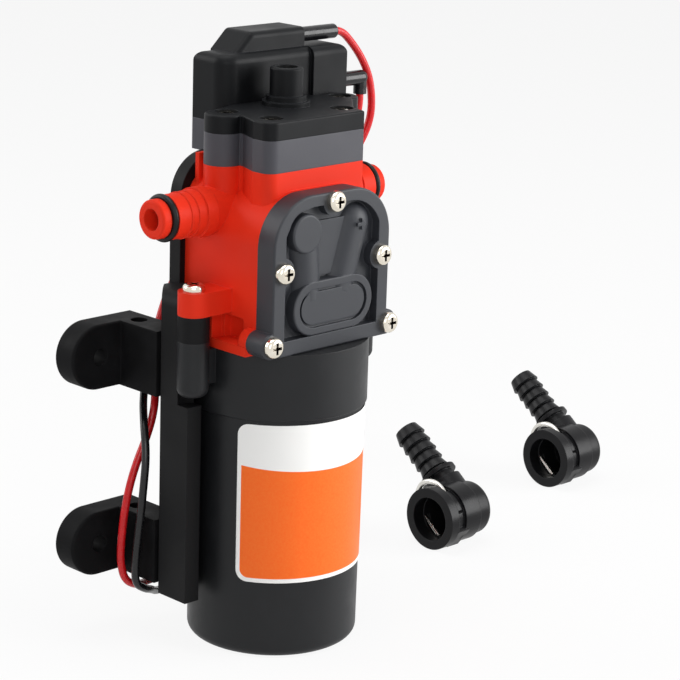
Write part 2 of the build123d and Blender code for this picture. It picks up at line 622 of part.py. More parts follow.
def cover_relief():
    """Everything cut below the cover's rim, as an XZ outline."""
    corner = HEAD_CORNER_RADIUS + 1.0
    recess = head_outline(HEAD_HALF_WIDTH, HEAD_BOTTOM + 1.0, HEAD_TOP, corner, TOP_RIM_WIDTH)
    recess = recess & (Pos(0, HEAD_BOTTOM) * Rectangle(2 * (HEAD_HALF_WIDTH - RIM_WIDTH), 3 * HEAD_HEIGHT))
    for x, z in COVER_SCREWS.values():
        recess -= Pos(x, z) * Circle(LOBE_RADIUS)
    return recess + Pos(*CAP_CENTRE) * Circle(CAP_RADIUS + CAP_GAP)


def ridge_bar(radius, start, end, depth):
    """Half-round water way on the relief floor, between two XZ points."""
    low = Vector(start[0], depth, start[1])
    high = Vector(end[0], depth, end[1])
    along = high - low
    bar = extrude(Plane(origin=low, z_dir=along) * Circle(radius), along.length)
    return bar + Pos(high.X, high.Y, high.Z) * Sphere(radius)


def cover_chamber(side):
    """Pocket over one valve and its water way up to the port's passage."""
    depth = COVER_BACK - CHAMBER_DEPTH
    valve = (side * VALVE_SPACING / 2, CRANK_HEIGHT)
    port = (side * WATER_WAY_X, PORT_HEIGHT)
    half = WATER_WAY_RADIUS * 0.8
    way = make_face(Polyline(
        (valve[0] - half, valve[1]), (valve[0] + half, valve[1]),
        (port[0] + half, port[1]), (port[0] - half, port[1]), close=True,
    ))
    pocket = cylinder_y(VALVE_RADIUS + 1.0, depth, COVER_BACK + 1, valve)
    pocket += cylinder_y(WATER_WAY_RADIUS, depth, COVER_BACK + 1, port)
    return pocket + front_prism(way, depth, COVER_BACK + 1)


def cover_panel(floor):
    """Racetrack boss over the valves, and the groove and sunk field on its face."""
    middle = (0.2, PANEL_HEIGHT)
    length, height = STADIUM_LENGTH - 2 * PANEL_MARGIN, STADIUM_HEIGHT - 2 * PANEL_MARGIN
    stadium = Pos(*middle) * SlotOverall(STADIUM_LENGTH, STADIUM_HEIGHT)
    panel = Pos(*middle) * SlotOverall(length, height)
    inner = Pos(*middle) * SlotOverall(length - 2 * GROOVE_WIDTH, height - 2 * GROOVE_WIDTH)
    boss = front_prism(stadium, COVER_FRONT - PANEL_RISE, floor + 0.01)
    boss = fillet(boss.edges().group_by(Axis.Y)[0], 0.4)
    groove = front_prism(panel - inner, COVER_FRONT - 1, COVER_FRONT + 0.4)
    return boss - groove - front_prism(inner, COVER_FRONT - 1, COVER_FRONT - 0.3)


def cover_arms(floor):
    """Two half-round water ways, the web between them and the cap over the left one."""
    arms = ridge_bar(LEFT_ARM_RADIUS, (-6.8, PANEL_HEIGHT + 2), (-8.3, HEAD_BOTTOM + 29.5), floor + 2.6)
    arms += ridge_bar(RIGHT_ARM_RADIUS, (4.2, PANEL_HEIGHT + 3), (9.2, HEAD_BOTTOM + 30.8), floor + 2.9)
    low, high = PANEL_HEIGHT + STADIUM_HEIGHT / 2 + WEB_GAP, HEAD_BOTTOM + 33.0
    web = make_face(Polyline((-8.0, low), (5.0, low), (8.0, high), (-8.0, high), close=True))
    cap = cylinder_y(CAP_RADIUS, COVER_FRONT - 0.7, floor + 0.01, CAP_CENTRE)
    cap = fillet(cap.edges().group_by(Axis.Y)[0], 0.6)
    return arms + front_prism(web, floor - 0.9, floor + 0.01) + cap


def flow_arrow():
    """Raised arrow on the right water way, in the direction of flow."""
    x, z = ARROW_CENTRE
    half = ARROW_SIZE / 2
    outline = make_face(Polyline(
        (x - half, z - 0.45), (x, z - 0.45), (x, z - half), (x + half, z),
        (x, z + half), (x, z + 0.45), (x - half, z + 0.45), close=True,
    ))
    return front_prism(outline, COVER_FRONT - 1.0, COVER_FRONT + 1.2)


def valve_cover():
    """Black front cover with relief, racetrack chamber, valve cap and two water ways."""
    outline = head_outline(HEAD_HALF_WIDTH, HEAD_BOTTOM, HEAD_TOP, HEAD_CORNER_RADIUS)
    body = front_prism(outline, COVER_FRONT, COVER_BACK)
    for name in ("bottom_left", "bottom_right"):
        body += cylinder_y(CORNER_LOBE_RADIUS, COVER_FRONT, COVER_BACK, COVER_SCREWS[name])
    body = fillet(body.faces().sort_by(Axis.Y)[0].outer_wire().edges(), COVER_EDGE_RADIUS)
    floor = COVER_FRONT + RELIEF_DEPTH
    body -= front_prism(cover_relief(), COVER_FRONT - 1, floor)
    reach = front_prism(outline, COVER_FRONT - 4, COVER_BACK - CHAMBER_DEPTH)
    body += (cover_arms(floor) & reach) + cover_panel(floor) + flow_arrow()
    low = PANEL_HEIGHT - STADIUM_HEIGHT / 2
    body += block(-0.4, 1.0, COVER_FRONT + 0.5, floor, HEAD_BOTTOM + 2.2, low + 0.2)
    for x, z in COVER_SCREWS.values():
        body -= cylinder_y(SCREW_SHANK_RADIUS + SLIP_FIT, COVER_FRONT - 1, COVER_BACK + 1, (x, z))
    return body - cover_chamber(-1) - cover_chamber(1)


def screw_length(z):
    """Length under the head: the two low screws are shorter."""
    return SCREW_LENGTH if z > HEAD_BOTTOM + HEAD_HEIGHT / 4 else COVER_THICKNESS + HOUSING_LOBE_DEPTH - 1.0


def cover_screw(x, z):
    """Nickel pan-head screw driven into the cover's face along +Y."""
    screw = pan_screw(SCREW_HEAD_RADIUS, SCREW_HEAD_HEIGHT, SCREW_SHANK_RADIUS, screw_length(z))
    return Pos(x, COVER_FRONT, z) * Rot(90, 0, 0) * screw


def valve_plate():
    """Disc that carries both umbrella valves."""
    plate = cylinder_y(VALVE_PLATE_RADIUS, COVER_BACK, COVER_BACK + VALVE_PLATE_THICKNESS, (0, CRANK_HEIGHT))
    for side in (-1, 1):
        centre = (side * VALVE_SPACING / 2, CRANK_HEIGHT)
        plate -= cylinder_y(0.8 + RUN_FIT, COVER_BACK - 1, COVER_BACK + 3, centre)
        for index in range(4):
            angle = radians(45 + 90 * index)
            spot = (centre[0] + 2.0 * cos(angle), centre[1] + 2.0 * sin(angle))
            plate -= cylinder_y(0.5, COVER_BACK - 1, COVER_BACK + 3, spot)
    return plate


def umbrella_valve(side):
    """Rubber mushroom valve; the inlet's skirt faces the diaphragm, the outlet's faces the cover."""
    at = (side * VALVE_SPACING / 2, CRANK_HEIGHT)
    back = COVER_BACK + VALVE_PLATE_THICKNESS
    if side > 0:
        skirt = cylinder_y(VALVE_RADIUS, COVER_BACK - 0.6, COVER_BACK, at)
    else:
        skirt = cylinder_y(VALVE_RADIUS, back, back + 0.5, at)
    return skirt + cylinder_y(0.8, COVER_BACK - 0.6, back + 0.5, at)


def diaphragm():
    """Rubber disc between the valve plate and the yoke."""
    at = (0, CRANK_HEIGHT)
    disc = cylinder_y(DIAPHRAGM_RADIUS, DIAPHRAGM_FRONT, YOKE_FRONT, at)
    return disc - cylinder_y(1.5, DIAPHRAGM_FRONT - 1, YOKE_FRONT + 1, at)


def yoke():
    """Frame that the crank bearing drives to and fro along Y."""
    low = CRANK_HEIGHT - YOKE_HEIGHT / 2
    slot_half_width = CRANK_BEARING_RADIUS + CRANK_OFFSET + 0.3
    outer = Pos(0, 0) * RectangleRounded(2 * (slot_half_width + YOKE_WALL), 2 * (YOKE_HALF + YOKE_WALL), 4.0)
    inner = RectangleRounded(2 * slot_half_width, 2 * YOKE_HALF, 3.0)
    frame = plan_prism(outer - inner, low, low + YOKE_HEIGHT)
    stud = cylinder_y(1.5 - RUN_FIT, DIAPHRAGM_FRONT, YOKE_FRONT + 0.5, (0, CRANK_HEIGHT))
    return frame + stud


def switch_base():
    """Lower part of the switch: seat, pressure chamber and the shelf that carries the housing."""
    body = plan_prism(base_plan(), SWITCH_BASE_BOTTOM, SWITCH_BASE_TOP)
    body -= cylinder_z(CHAMBER_RADIUS, PISTON_BOTTOM, SWITCH_BASE_TOP + 1, TOWER)
    body -= cylinder_z(PRESSURE_WAY_RADIUS, SWITCH_BASE_BOTTOM - 1, PISTON_BOTTOM + 1, TOWER)
    hole = SCREW_SHANK_RADIUS + SLIP_FIT
    for centre in SWITCH_SCREWS.values():
        body -= cylinder_z(hole, SWITCH_BASE_BOTTOM + 1.5, SWITCH_BASE_TOP + 1, centre)
    return body


def switch_cover():
    """Upper part of the switch with the adjuster tower and four screw wells."""
    body = plan_prism(switch_plan(), SWITCH_BASE_TOP, SWITCH_COVER_TOP)
    body = fillet(body.edges().group_by(Axis.Z)[-1], SWITCH_EDGE_RADIUS)
    for plan in house_plans():
        body -= plan_prism(offset(plan, RUN_FIT), SWITCH_BASE_TOP - 1, SWITCH_COVER_TOP + 1)
    low = SWITCH_COVER_TOP
    skirt = cylinder_z(SKIRT_RADIUS, low, low + SKIRT_HEIGHT, TOWER)
    skirt += cylinder_z(COLLAR_STEP_RADIUS, low, low + COLLAR_STEP_HEIGHT, TOWER)
    tower = cylinder_z(TOWER_RADIUS, low, TOWER_TOP, TOWER)
    tower = fillet(tower.edges().group_by(Axis.Z)[-1], 0.6)
    body += skirt + tower
    body -= cylinder_z(TOWER_BORE_RADIUS, SWITCH_BASE_TOP - 1, TOWER_TOP + 1, TOWER)
    for centre in SWITCH_SCREWS.values():
        body -= cylinder_z(WELL_RADIUS, SWITCH_COVER_TOP - WELL_DEPTH, SWITCH_COVER_TOP + 1, centre)
        body -= cylinder_z(SCREW_SHANK_RADIUS + SLIP_FIT, SWITCH_BASE_TOP - 1, SWITCH_COVER_TOP + 1, centre)
    return body


def switch_screw(centre):
    """Pan-head screw sunk in its well."""
    screw = pan_screw(SCREW_HEAD_RADIUS, SCREW_HEAD_HEIGHT, SCREW_SHANK_RADIUS, 7.0)
    return Pos(centre[0], centre[1], SWITCH_COVER_TOP - WELL_DEPTH) * screw


def adjuster():
    """Slotted screw that sets the cut-out pressure."""
    body = cylinder_z(ADJUSTER_RADIUS, 0, ADJUSTER_HEIGHT)
    body = fillet(body.edges().group_by(Axis.Z)[-1], 0.4) - cross_recess(ADJUSTER_HEIGHT)
    return Pos(TOWER[0], TOWER[1], ADJUSTER_BOTTOM) * body


def pressure_spring():
    """Coil spring between the piston and the adjuster."""
    low = PISTON_TOP + SPRING_WIRE_RADIUS + 0.05
    high = ADJUSTER_BOTTOM - SPRING_WIRE_RADIUS - 0.05
    pitch = (high - low) / SPRING_TURNS
    path = Helix(pitch, high - low, SPRING_RADIUS)
    profile = Plane(origin=path @ 0, z_dir=path % 0) * RegularPolygon(SPRING_WIRE_RADIUS, 6)
    coil = sweep(profile, path=path, is_frenet=True)
    return Pos(TOWER[0], TOWER[1], low) * coil


def piston():
    """Pressure plate with the stem that works the switch."""
    return cylinder_z(PISTON_RADIUS, PISTON_BOTTOM + RUN_FIT, PISTON_TOP, TOWER) + cylinder_z(
        1.3, PISTON_TOP - 0.1, PISTON_TOP + 5.0, TOWER
    )


def house_ridge():
    """Raised ridge along the housing's top, sloped at its left end and round in front."""
    profile = make_face(Polyline(
        (RIDGE_FOOT_LEFT, HOUSE_TOP - 4.0), (RIDGE_FOOT_LEFT, HOUSE_TOP), (RIDGE_CREST_LEFT, RIDGE_TOP),
        (RIDGE_RIGHT, RIDGE_TOP), (RIDGE_RIGHT, HOUSE_TOP - 4.0), close=True,
    ))
    crest = profile.vertices().sort_by_distance(Vector(RIDGE_CREST_LEFT, RIDGE_TOP))[0]
    ridge = front_prism(fillet([crest], RIDGE_CREST_RADIUS), RIDGE_FRONT, HOUSE_REAR)
    front_top = ridge.edges().filter_by(Axis.X).group_by(Axis.Z)[-1].sort_by(Axis.Y)[0]
    return fillet([front_top], RIDGE_EDGE_RADIUS)


def switch_housing():
    """Tall cover over the contacts, with the raised ridge that the upper terminal leaves."""
    main, terminal = (plan_prism(plan, SWITCH_BASE_TOP, HOUSE_TOP) for plan in house_plans())
    body = fillet(main.edges().group_by(Axis.Z)[-1].sort_by(Axis.X)[:-1], HOUSE_EDGE_RADIUS)
    body += fillet(terminal.edges().group_by(Axis.Z)[-1].sort_by(Axis.X)[1:], HOUSE_EDGE_RADIUS)
    body += house_ridge()
    return body - upper_tab(RUN_FIT, 0.4) - lower_tab(RUN_FIT, 0.4)


def blade(left, length, depth, height, grow, reach):
    """Flat terminal along X from its left end, optionally grown for a clearance pocket."""
    half_width, half_height = TAB_WIDTH / 2 + grow, TAB_THICKNESS / 2 + grow
    return block(left - reach, left + length + reach, depth - half_width, depth + half_width,
                 height - half_height, height + half_height)


def upper_tab(grow=0.0, reach=0.0):
    """Blade terminal in the ridge's right end."""
    return blade(RIDGE_RIGHT - 4.0, 10.0, UPPER_TAB_DEPTH, UPPER_TAB_HEIGHT, grow, reach)


def lower_tab(grow=0.0, reach=0.0):
    """Blade terminal in the switch housing's right end."""
    return blade(HOUSE_RIGHT - 4.0, 9.0, LOWER_TAB_DEPTH, LOWER_TAB_HEIGHT, grow, reach)


def upper_sleeve():
    """Straight insulating sleeve pushed over the upper terminal."""
    at = (UPPER_TAB_DEPTH, UPPER_TAB_HEIGHT)
    tube = cylinder_x(SLEEVE_RADIUS, RIDGE_RIGHT, RIDGE_RIGHT + SLEEVE_LENGTH, at)
    return fillet(tube.edges().group_by(Axis.X)[-1], 0.6) - upper_tab(RUN_FIT)


def lower_boot():
    """Bent insulating boot over the lower terminal."""
    corner = HOUSE_RIGHT + BOOT_REACH
    body = cylinder_x(BOOT_RADIUS, HOUSE_RIGHT, corner, (LOWER_TAB_DEPTH, LOWER_TAB_HEIGHT))
    body += Pos(corner, LOWER_TAB_DEPTH, LOWER_TAB_HEIGHT) * Sphere(BOOT_RADIUS)
    low = LOWER_TAB_HEIGHT - BOOT_DROP
    body += cylinder_z(BOOT_RADIUS * 0.9, low, LOWER_TAB_HEIGHT, (corner, LOWER_TAB_DEPTH))
    return body - lower_tab(RUN_FIT)


def lead(points, radius):
    """Round lead along straight runs joined by tangent arcs."""
    corners = [Vector(*point) for point in points]
    radii = []
    for before, corner, after in zip(corners, corners[1:], corners[2:]):
        turn = (corner - before).get_angle(after - corner)
        shorter = min((corner - before).length, (after - corner).length)
        radii.append(0.45 * shorter / tan(radians(turn) / 2))
    path = FilletPolyline(*corners, radius=radii)
    start = Plane(origin=corners[0], z_dir=corners[1] - corners[0])
    tube = sweep(start * Circle(radius), path=path)
    ratio = tube.volume / (pi * radius ** 2 * path.length)
    print(f"lead of {path.length:.1f} mm, smallest bend {min(radii):.1f} mm, volume ratio {ratio:.4f}")
    return tube


def mounting_bracket():
    """Black bracket: arch behind the head, side walls, bolt lugs and the cradle round the motor."""
    arch_top, arch_rear = HEAD_TOP + HOUSING_REAR_RISE + ARCH_RISE, HOUSING_REAR + ARCH_THICKNESS
    plate = head_outline(ARCH_HALF_WIDTH, BRACKET_TOP - 4, arch_top, ARCH_CORNER_RADIUS)
    arch = front_prism(plate, HOUSING_REAR, arch_rear)
    arch -= block(HOUSE_LEFT - SLIP_FIT, HOUSE_RIGHT, HOUSING_REAR - 1, arch_rear + 1,
                  SWITCH_BASE_BOTTOM - RUN_FIT, arch_top + 1)
    half = BRACKET_HALF_WIDTH
    chamfer = CRADLE_REAR - BRACKET_REAR
    plan = make_face(Polyline(
        (-half, BRACKET_FRONT), (-half, BRACKET_REAR), (-half + chamfer, CRADLE_REAR),
        (half - chamfer, CRADLE_REAR), (half, BRACKET_REAR), (half, BRACKET_FRONT), close=True,
    ))
    walls = plan_prism(plan, BRACKET_BASE, BRACKET_TOP)
    top_edges = walls.edges().group_by(Axis.Z)[-1].sort_by(Axis.X)
    walls = fillet([top_edges[0], top_edges[-1]], 3.0)
    walls -= cylinder_z(FLANGE_RADIUS + SLIP_FIT, BRACKET_BASE - 1, BRACKET_TOP + 1)
    walls -= block(-half + BRACKET_WALL, half - BRACKET_WALL, BRACKET_FRONT - 1, BRACKET_REAR - 2,
                   BRACKET_BASE - 1, BRACKET_TOP + 1)
    walls -= block(-HEAD_HALF_WIDTH - 0.2, HEAD_HALF_WIDTH + 0.2, BRACKET_FRONT - 1, HOUSING_REAR,
                   FLANGE_TOP - 0.05, BRACKET_TOP + 1)
    pocket = HEAD_HALF_WIDTH + SIDE_WALL_REACH + 0.2
    walls -= block(-pocket, pocket, BRACKET_FRONT - 1, SIDE_WALL_REAR + 0.2,
                   FLANGE_TOP - 0.05, BRACKET_TOP + 1)
    body = arch + walls + bracket_shoulders(plan)
    low = LUG_BOTTOM - LOWER_BOSS_HEIGHT
    for side in (-1, 1):
        at = (side * BOLT_X, 0)
        body -= cylinder_z(BOLT_BOSS_RADIUS + SLIP_FIT, low - 3, LUG_BOTTOM, at)
        inner = side * (FLANGE_RADIUS - 4)
        body -= block(min(inner, at[0]), max(inner, at[0]), -2.2, 2.2, low - 3, LUG_BOTTOM)
        body += cylinder_z(BOLT_BOSS_RADIUS, LUG_BOTTOM, BRACKET_TOP, at)
        body -= cylinder_z(BOLT_RADIUS + SLIP_FIT, LUG_BOTTOM - 1, BRACKET_TOP + 1, at)
    return body


def bracket_shoulders(plan):
    """Raised shoulders behind the bolt bosses, round on their outer edges."""
    band = block(HEAD_HALF_WIDTH + 0.6, BRACKET_HALF_WIDTH, SHOULDER_FRONT, SHOULDER_REAR,
                 BRACKET_TOP - 3, SHOULDER_TOP)
    outer = band.edges().filter_by(Axis.Y).group_by(Axis.Z)[-1].sort_by(Axis.X)[-1]
    band = fillet([outer], SHOULDER_RADIUS) & plan_prism(plan, BRACKET_BASE, SHOULDER_TOP + 1)
    return band + mirror(band, Plane.YZ)


def foot(side, height):
    """Rubber foot: D-shaped ear on the mounting plane and the arm that joins the bracket."""
    half = FOOT_HEIGHT / 2
    low, high = height - half, height + half
    inner, bend = FOOT_WALL - FOOT_ARM, FOOT_REACH - half
    ear = make_face(
        ThreePointArc((bend, high), (FOOT_REACH, height), (bend, low))
        + Polyline((bend, low), (inner, low), (inner, high), (bend, high))
    )
    body = front_prism(ear, FOOT_FACE, FOOT_REAR)
    body = fillet(body.edges().group_by(Axis.Y)[0], EAR_EDGE_RADIUS)
    body += block(inner, FOOT_WALL, BRACKET_REAR + 0.9, FOOT_REAR, low, high)
    body -= cylinder_y(FOOT_HOLE_RADIUS, FOOT_FACE - 1, FOOT_REAR + 1, (HOLE_X, height))
    core = (FOOT_WALL - FOOT_ARM / 2, (BRACKET_REAR + FOOT_REAR) / 2 + 2)
    body -= cylinder_z(CORE_HOLE_RADIUS, high - CORE_HOLE_DEPTH, high + 1, core)
    edge = BRACKET_HALF_WIDTH + SLIP_FIT
    keep_out = make_face(Polyline(
        (0, 0), (edge, 0), (edge, BRACKET_REAR), (edge - CRADLE_REAR + BRACKET_REAR, CRADLE_REAR),
        (0, CRADLE_REAR), close=True,
    ))
    body -= plan_prism(keep_out, low - 1, high + 1)
    return body if side > 0 else mirror(body, Plane.YZ)


def barb_profile():
    """Half section of the hose tail: neck, thin disc and saw-tooth ribs, from z = 0 up."""
    disc_base = NECK_LENGTH - DISC_THICKNESS
    points = [(BARB_BORE_RADIUS, 0), (NECK_RADIUS, 0), (NECK_RADIUS, disc_base), (DISC_RADIUS, disc_base)]
    points += [(DISC_RADIUS, NECK_LENGTH), (BARB_ROOT_RADIUS, NECK_LENGTH)]
    for index in range(BARB_COUNT):
        base = NECK_LENGTH + 1.0 + index * BARB_PITCH
        points += [(BARB_ROOT_RADIUS, base), (BARB_CREST_RADIUS, base)]
        points += [(BARB_ROOT_RADIUS + 0.1, base + BARB_PITCH - 0.3)]
    top = NECK_LENGTH + 1.0 + BARB_COUNT * BARB_PITCH
    points += [(BARB_ROOT_RADIUS, top), (BARB_BORE_RADIUS, top)]
    return points


def elbow_pads():
    """Pad with round corners at the tail's foot, and the square block under the rim."""
    pad = Pos(TAIL_X - 3.6, 0, BODY_RADIUS - 1.2) * Box(9.0, 8.4, 3.6)
    pad = fillet(pad.edges().filter_by(Axis.Z), 1.6)
    return pad + block(RIM_LENGTH - 0.1, RIM_LENGTH + 4.6, -3.6, 3.6, -SOCKET_RADIUS + 0.6, 0)


def clip_slot(side):
    """Slot that one leg of the U clip drops into."""
    half = CLIP_WIRE_RADIUS + SLOT_CLEARANCE
    middle = side * CLIP_LEG_SPREAD
    return block(CLIP_INSET - half, CLIP_INSET + half, middle - half, middle + half,
                 CLIP_FOOT_HEIGHT - CLIP_WIRE_RADIUS, SOCKET_RADIUS + 1)


def elbow_local():
    """Elbow with its socket mouth at the origin facing -X and the tail up +Z."""
    at = (0.0, 0.0)
    body = cylinder_x(BODY_RADIUS, 0.5, SOCKET_LENGTH + 4.0, at)
    body = fillet(body.edges().group_by(Axis.X)[-1], 2.0)
    body += cylinder_x(SOCKET_RADIUS, 0, RIM_LENGTH, at)
    body += cylinder_x(SOCKET_RADIUS - 0.5, CLIP_INSET + CLIP_WIRE_RADIUS + 0.5, SOCKET_LENGTH - 2.0, at)
    body += cylinder_z(NECK_RADIUS + 1.3, 0, BODY_RADIUS + 2.0, (TAIL_X, 0)) + elbow_pads()
    half = Plane.XZ * make_face(Polyline(*barb_profile(), close=True))
    body += Pos(TAIL_X, 0, BODY_RADIUS - 1.5) * revolve(half, Axis.Z)
    body -= cylinder_x(SOCKET_BORE_RADIUS, -1, SOCKET_DEPTH, at)
    body -= cylinder_x(MOUTH_RADIUS, -1, MOUTH_DEPTH, at)
    body -= cylinder_x(BARB_BORE_RADIUS, 0, TAIL_X, at)
    body -= cylinder_z(BARB_BORE_RADIUS, 0, BODY_RADIUS + 40, (TAIL_X, 0))
    return body - clip_slot(-1) - clip_slot(1)


def clip_local():
    """Spring-wire U clip that drops into the socket's two slots."""
    spread = CLIP_LEG_SPREAD
    straight = SOCKET_RADIUS + CLIP_CROWN - spread
    left_foot, left_top = (CLIP_INSET, -spread, CLIP_FOOT_HEIGHT), (CLIP_INSET, -spread, straight)
    right_foot, right_top = (CLIP_INSET, spread, CLIP_FOOT_HEIGHT), (CLIP_INSET, spread, straight)
    path = Polyline(left_foot, left_top)
    path += ThreePointArc(left_top, (CLIP_INSET, 0, straight + spread), right_top)
    path += Polyline(right_top, right_foot)
    start = Plane(origin=left_foot, z_dir=(0, 0, 1))
    return sweep(start * Circle(CLIP_WIRE_RADIUS), path=path)


def lay_elbow(shape, place):
    """Turn an elbow or its clip to the way it lies, and set it down at place."""
    lean = 90 - BARB_LIFT_ANGLE
    return Pos(place[0], place[1], SOCKET_RADIUS) * Rot(-lean, 0, 0) * shape


def switch_leads():
    """Two red leads from the terminals, as point lists: one to a bare end, one on towards the motor."""
    x, y, z = RIDGE_RIGHT + SLEEVE_LENGTH, UPPER_TAB_DEPTH, UPPER_TAB_HEIGHT
    upper = [
        (x, y, z), (x + 2.5, y, z), (x + 6.5, y - 0.2, z - 3.6), (x + 10.1, y - 0.6, z - 8.0),
        (x + 13.1, y - 0.8, z - 13.4), (x + 14.2, y - 1.0, z - 19.6), (x + 14.0, y - 0.8, z - 25.6),
        (x + 10.8, y, z - 32.4), (x + 5.6, y + 1.6, z - 39.6), (x - 1.4, y + 3.8, z - 47.0),
        (x - 9.4, y + 6.6, z - 54.6), (x - 14.2, y + 9.4, z - 64.4), (x - 17.6, y + 11.2, z - 74.4),
        (x - 21.2, y + 11.7, z - 85.4), (x - 24.4, y + 11.6, z - 97.4), (x - 26.2, y + 11.7, z - 109.4),
        (x - 26.6, y + 11.6, z - 120.4),
    ]
    x, y, z = HOUSE_RIGHT + BOOT_REACH, LOWER_TAB_DEPTH, LOWER_TAB_HEIGHT - BOOT_DROP
    lower = [
        (x, y, z), (x, y, z - 4.0), (x - 1.4, y + 0.6, z - 9.2), (x - 4.8, y + 1.6, z - 15.4),
        (x - 9.8, y + 3.4, z - 22.2), (x - 17.8, y + 5.0, z - 29.8), (x - 29.2, y + 5.8, z - 35.2),
        (x - 40.2, y + 5.8, z - 38.0), (x - 48.2, y + 8.2, z - 39.8), (-9.2, 28.4, 94.4), (-13.2, 29.0, 88.2),
        RED_JOINT,
    ]
    return {"lead_upper": upper, "lead_lower": lower}


def grommet_run(offset_z):
    """Last two points of a motor lead: square on to the grommet and into it."""
    turn = radians(GROMMET_ANGLE)
    height = GROMMET_HEIGHT + offset_z
    radii = (CAN_BASE_RADIUS + 6.6, CAN_BASE_RADIUS - 1.4)
    return [(-radius * sin(turn), radius * cos(turn), height) for radius in radii]


def motor_leads():
    """Red and black motor leads that lie beside the bracket between the left feet, as point lists."""
    red = [
        RED_JOINT, (-18.4, 27.6, 78.0), (-20.9, 24.6, 71.5), (-22.2, 22.6, 64.6), (-24.2, 20.8, 59.6),
        (-27.2, 20.0, 53.6), (-30.6, 20.0, 47.4), (-33.2, 20.0, 40.6), (-34.8, 20.0, 33.2),
        (-35.6, 20.0, 26.6), (-35.8, 20.0, 21.0), (-34.2, 20.2, 15.6), (-29.6, 20.6, 12.8),
        (-22.5, 24.4, 11.4),
    ]
    black = [
        (-6.6, 29.7, 40.0), (-5.6, 29.8, 51.0), (-6.2, 29.7, 63.0), (-7.6, 29.8, 72.2), (-11.6, 30.0, 77.0),
        (-16.4, 30.2, 76.4), (-20.0, 29.4, 72.0), (-21.2, 27.7, 66.8), (-24.0, 25.5, 61.8), (-29.4, 18.6, 57.4),
        (-31.2, 15.4, 50.6), (-32.4, 15.0, 42.0), (-33.2, 15.0, 35.0), (-34.2, 15.2, 27.0),
        (-34.6, 15.4, 21.6), (-34.2, 15.8, 15.8), (-30.2, 16.6, 13.2), (-26.5, 18.6, 11.6),
        (-20.8, 22.6, 8.4),
    ]
    half = GROMMET_PITCH / 2
    return {"lead_motor_red": red + grommet_run(half), "lead_motor_black": black + grommet_run(-half)}


def bare_end(tip, inner):
    """Stripped end of a lead, in line with its last straight run."""
    away = (Vector(*tip) - Vector(*inner)).normalized()
    return extrude(Plane(origin=tip, z_dir=away) * Circle(WIRE_RADIUS), WIRE_LENGTH)


def lead_grommet():
    """Rubber grommet that carries both motor leads through the can wall."""
    at = (0, GROMMET_HEIGHT)
    flange = cylinder_y(GROMMET_RADIUS, CAN_BASE_RADIUS - 2, CAN_BASE_RADIUS + 1.6, at)
    flange = fillet(flange.edges().group_by(Axis.Y)[-1], 0.5)
    flange -= cylinder_z(CAN_BASE_RADIUS + 0.1, 0, 2 * GROMMET_HEIGHT)
    plug_front = CAN_BASE_RADIUS - CAN_WALL + RUN_FIT
    body = flange + cylinder_y(GROMMET_PLUG_RADIUS, plug_front, CAN_BASE_RADIUS + 0.6, at)
    for offset_z in (-GROMMET_PITCH / 2, GROMMET_PITCH / 2):
        hole = (0, GROMMET_HEIGHT + offset_z)
        body -= cylinder_y(LEAD_RADIUS + RUN_FIT, CAN_BASE_RADIUS - 5, CAN_BASE_RADIUS + 5, hole)
    return Rot(0, 0, GROMMET_ANGLE) * body


def write(name, shape):
    """Export one sub-part under its node name."""
    solids = shape.solids()
    export_step(Compound(solids) if len(solids) > 1 else solids[0], f"parts/{name}.step")


def main():
    """Build and export every sub-part."""
    os.makedirs("parts", exist_ok=True)
    write("motor_can", motor_can())
    write("rear_bearing", bearing(CAN_WALL + 0.2))
    write("front_bearing", bearing(BEARING_TOP - BEARING_HEIGHT))
    write("magnet_left", magnet(-1))
    write("magnet_right", magnet(1))
    write("armature", armature())
    write("brush_left", brush(-1))
    write("brush_right", brush(1))
    write("label_band", label_band())
    write("motor_flange", motor_flange())
    write("crank", crank())
    write("crank_bearing", crank_bearing())
    write("yoke", yoke())
    write("diaphragm", diaphragm())
    write("valve_plate", valve_plate())
    write("inlet_valve", umbrella_valve(-1))
    write("outlet_valve", umbrella_valve(1))
    write("pump_housing", pump_housing())
    write("valve_cover", valve_cover())
    for name, (x, z) in COVER_SCREWS.items():
        write(f"cover_screw_{name}", cover_screw(x, z))
    write("mounting_bracket", mounting_bracket())
    for label, side in (("left", -1), ("right", 1)):
        write(f"through_bolt_{label}", through_bolt(side))
        write(f"port_ring_{label}", port_ring(side))
        write(f"foot_upper_{label}", foot(side, UPPER_HOLE_HEIGHT))
        write(f"foot_lower_{label}", foot(side, LOWER_HOLE_HEIGHT))
    write("switch_base", switch_base())
    write("switch_cover", switch_cover())
    for name, centre in SWITCH_SCREWS.items():
        write(f"switch_screw_{name}", switch_screw(centre))
    write("adjuster", adjuster())
    write("pressure_spring", pressure_spring())
    write("piston", piston())
    write("switch_housing", switch_housing())
    write("upper_tab", upper_tab())
    write("lower_tab", lower_tab())
    write("upper_sleeve", upper_sleeve())
    write("lower_boot", lower_boot())
    write("lead_grommet", lead_grommet())
    leads = {**switch_leads(), **motor_leads()}
    for name, points in leads.items():
        write(name, lead(points, LEAD_RADIUS))
    write("bare_end_red", bare_end(*leads["lead_upper"][:-3:-1]))
    write("bare_end_black", bare_end(*leads["lead_motor_black"][:2]))
    for name, place in ELBOWS.items():
        write(f"elbow_{name}", lay_elbow(elbow_local(), place))
        write(f"elbow_clip_{name}", lay_elbow(clip_local(), place))


if __name__ == "__main__":
    main()
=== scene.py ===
"""Water pressure pump with two loose hose elbows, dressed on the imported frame.

The frame is in metres: +Z runs up the motor, -Y faces the valve cover and the ports leave along -X and +X.
Sizes whose names end in _mm are millimetres, as a maker would write them. They become metres where a mesh,
a lamp or a texture is made.
"""

from __future__ import annotations

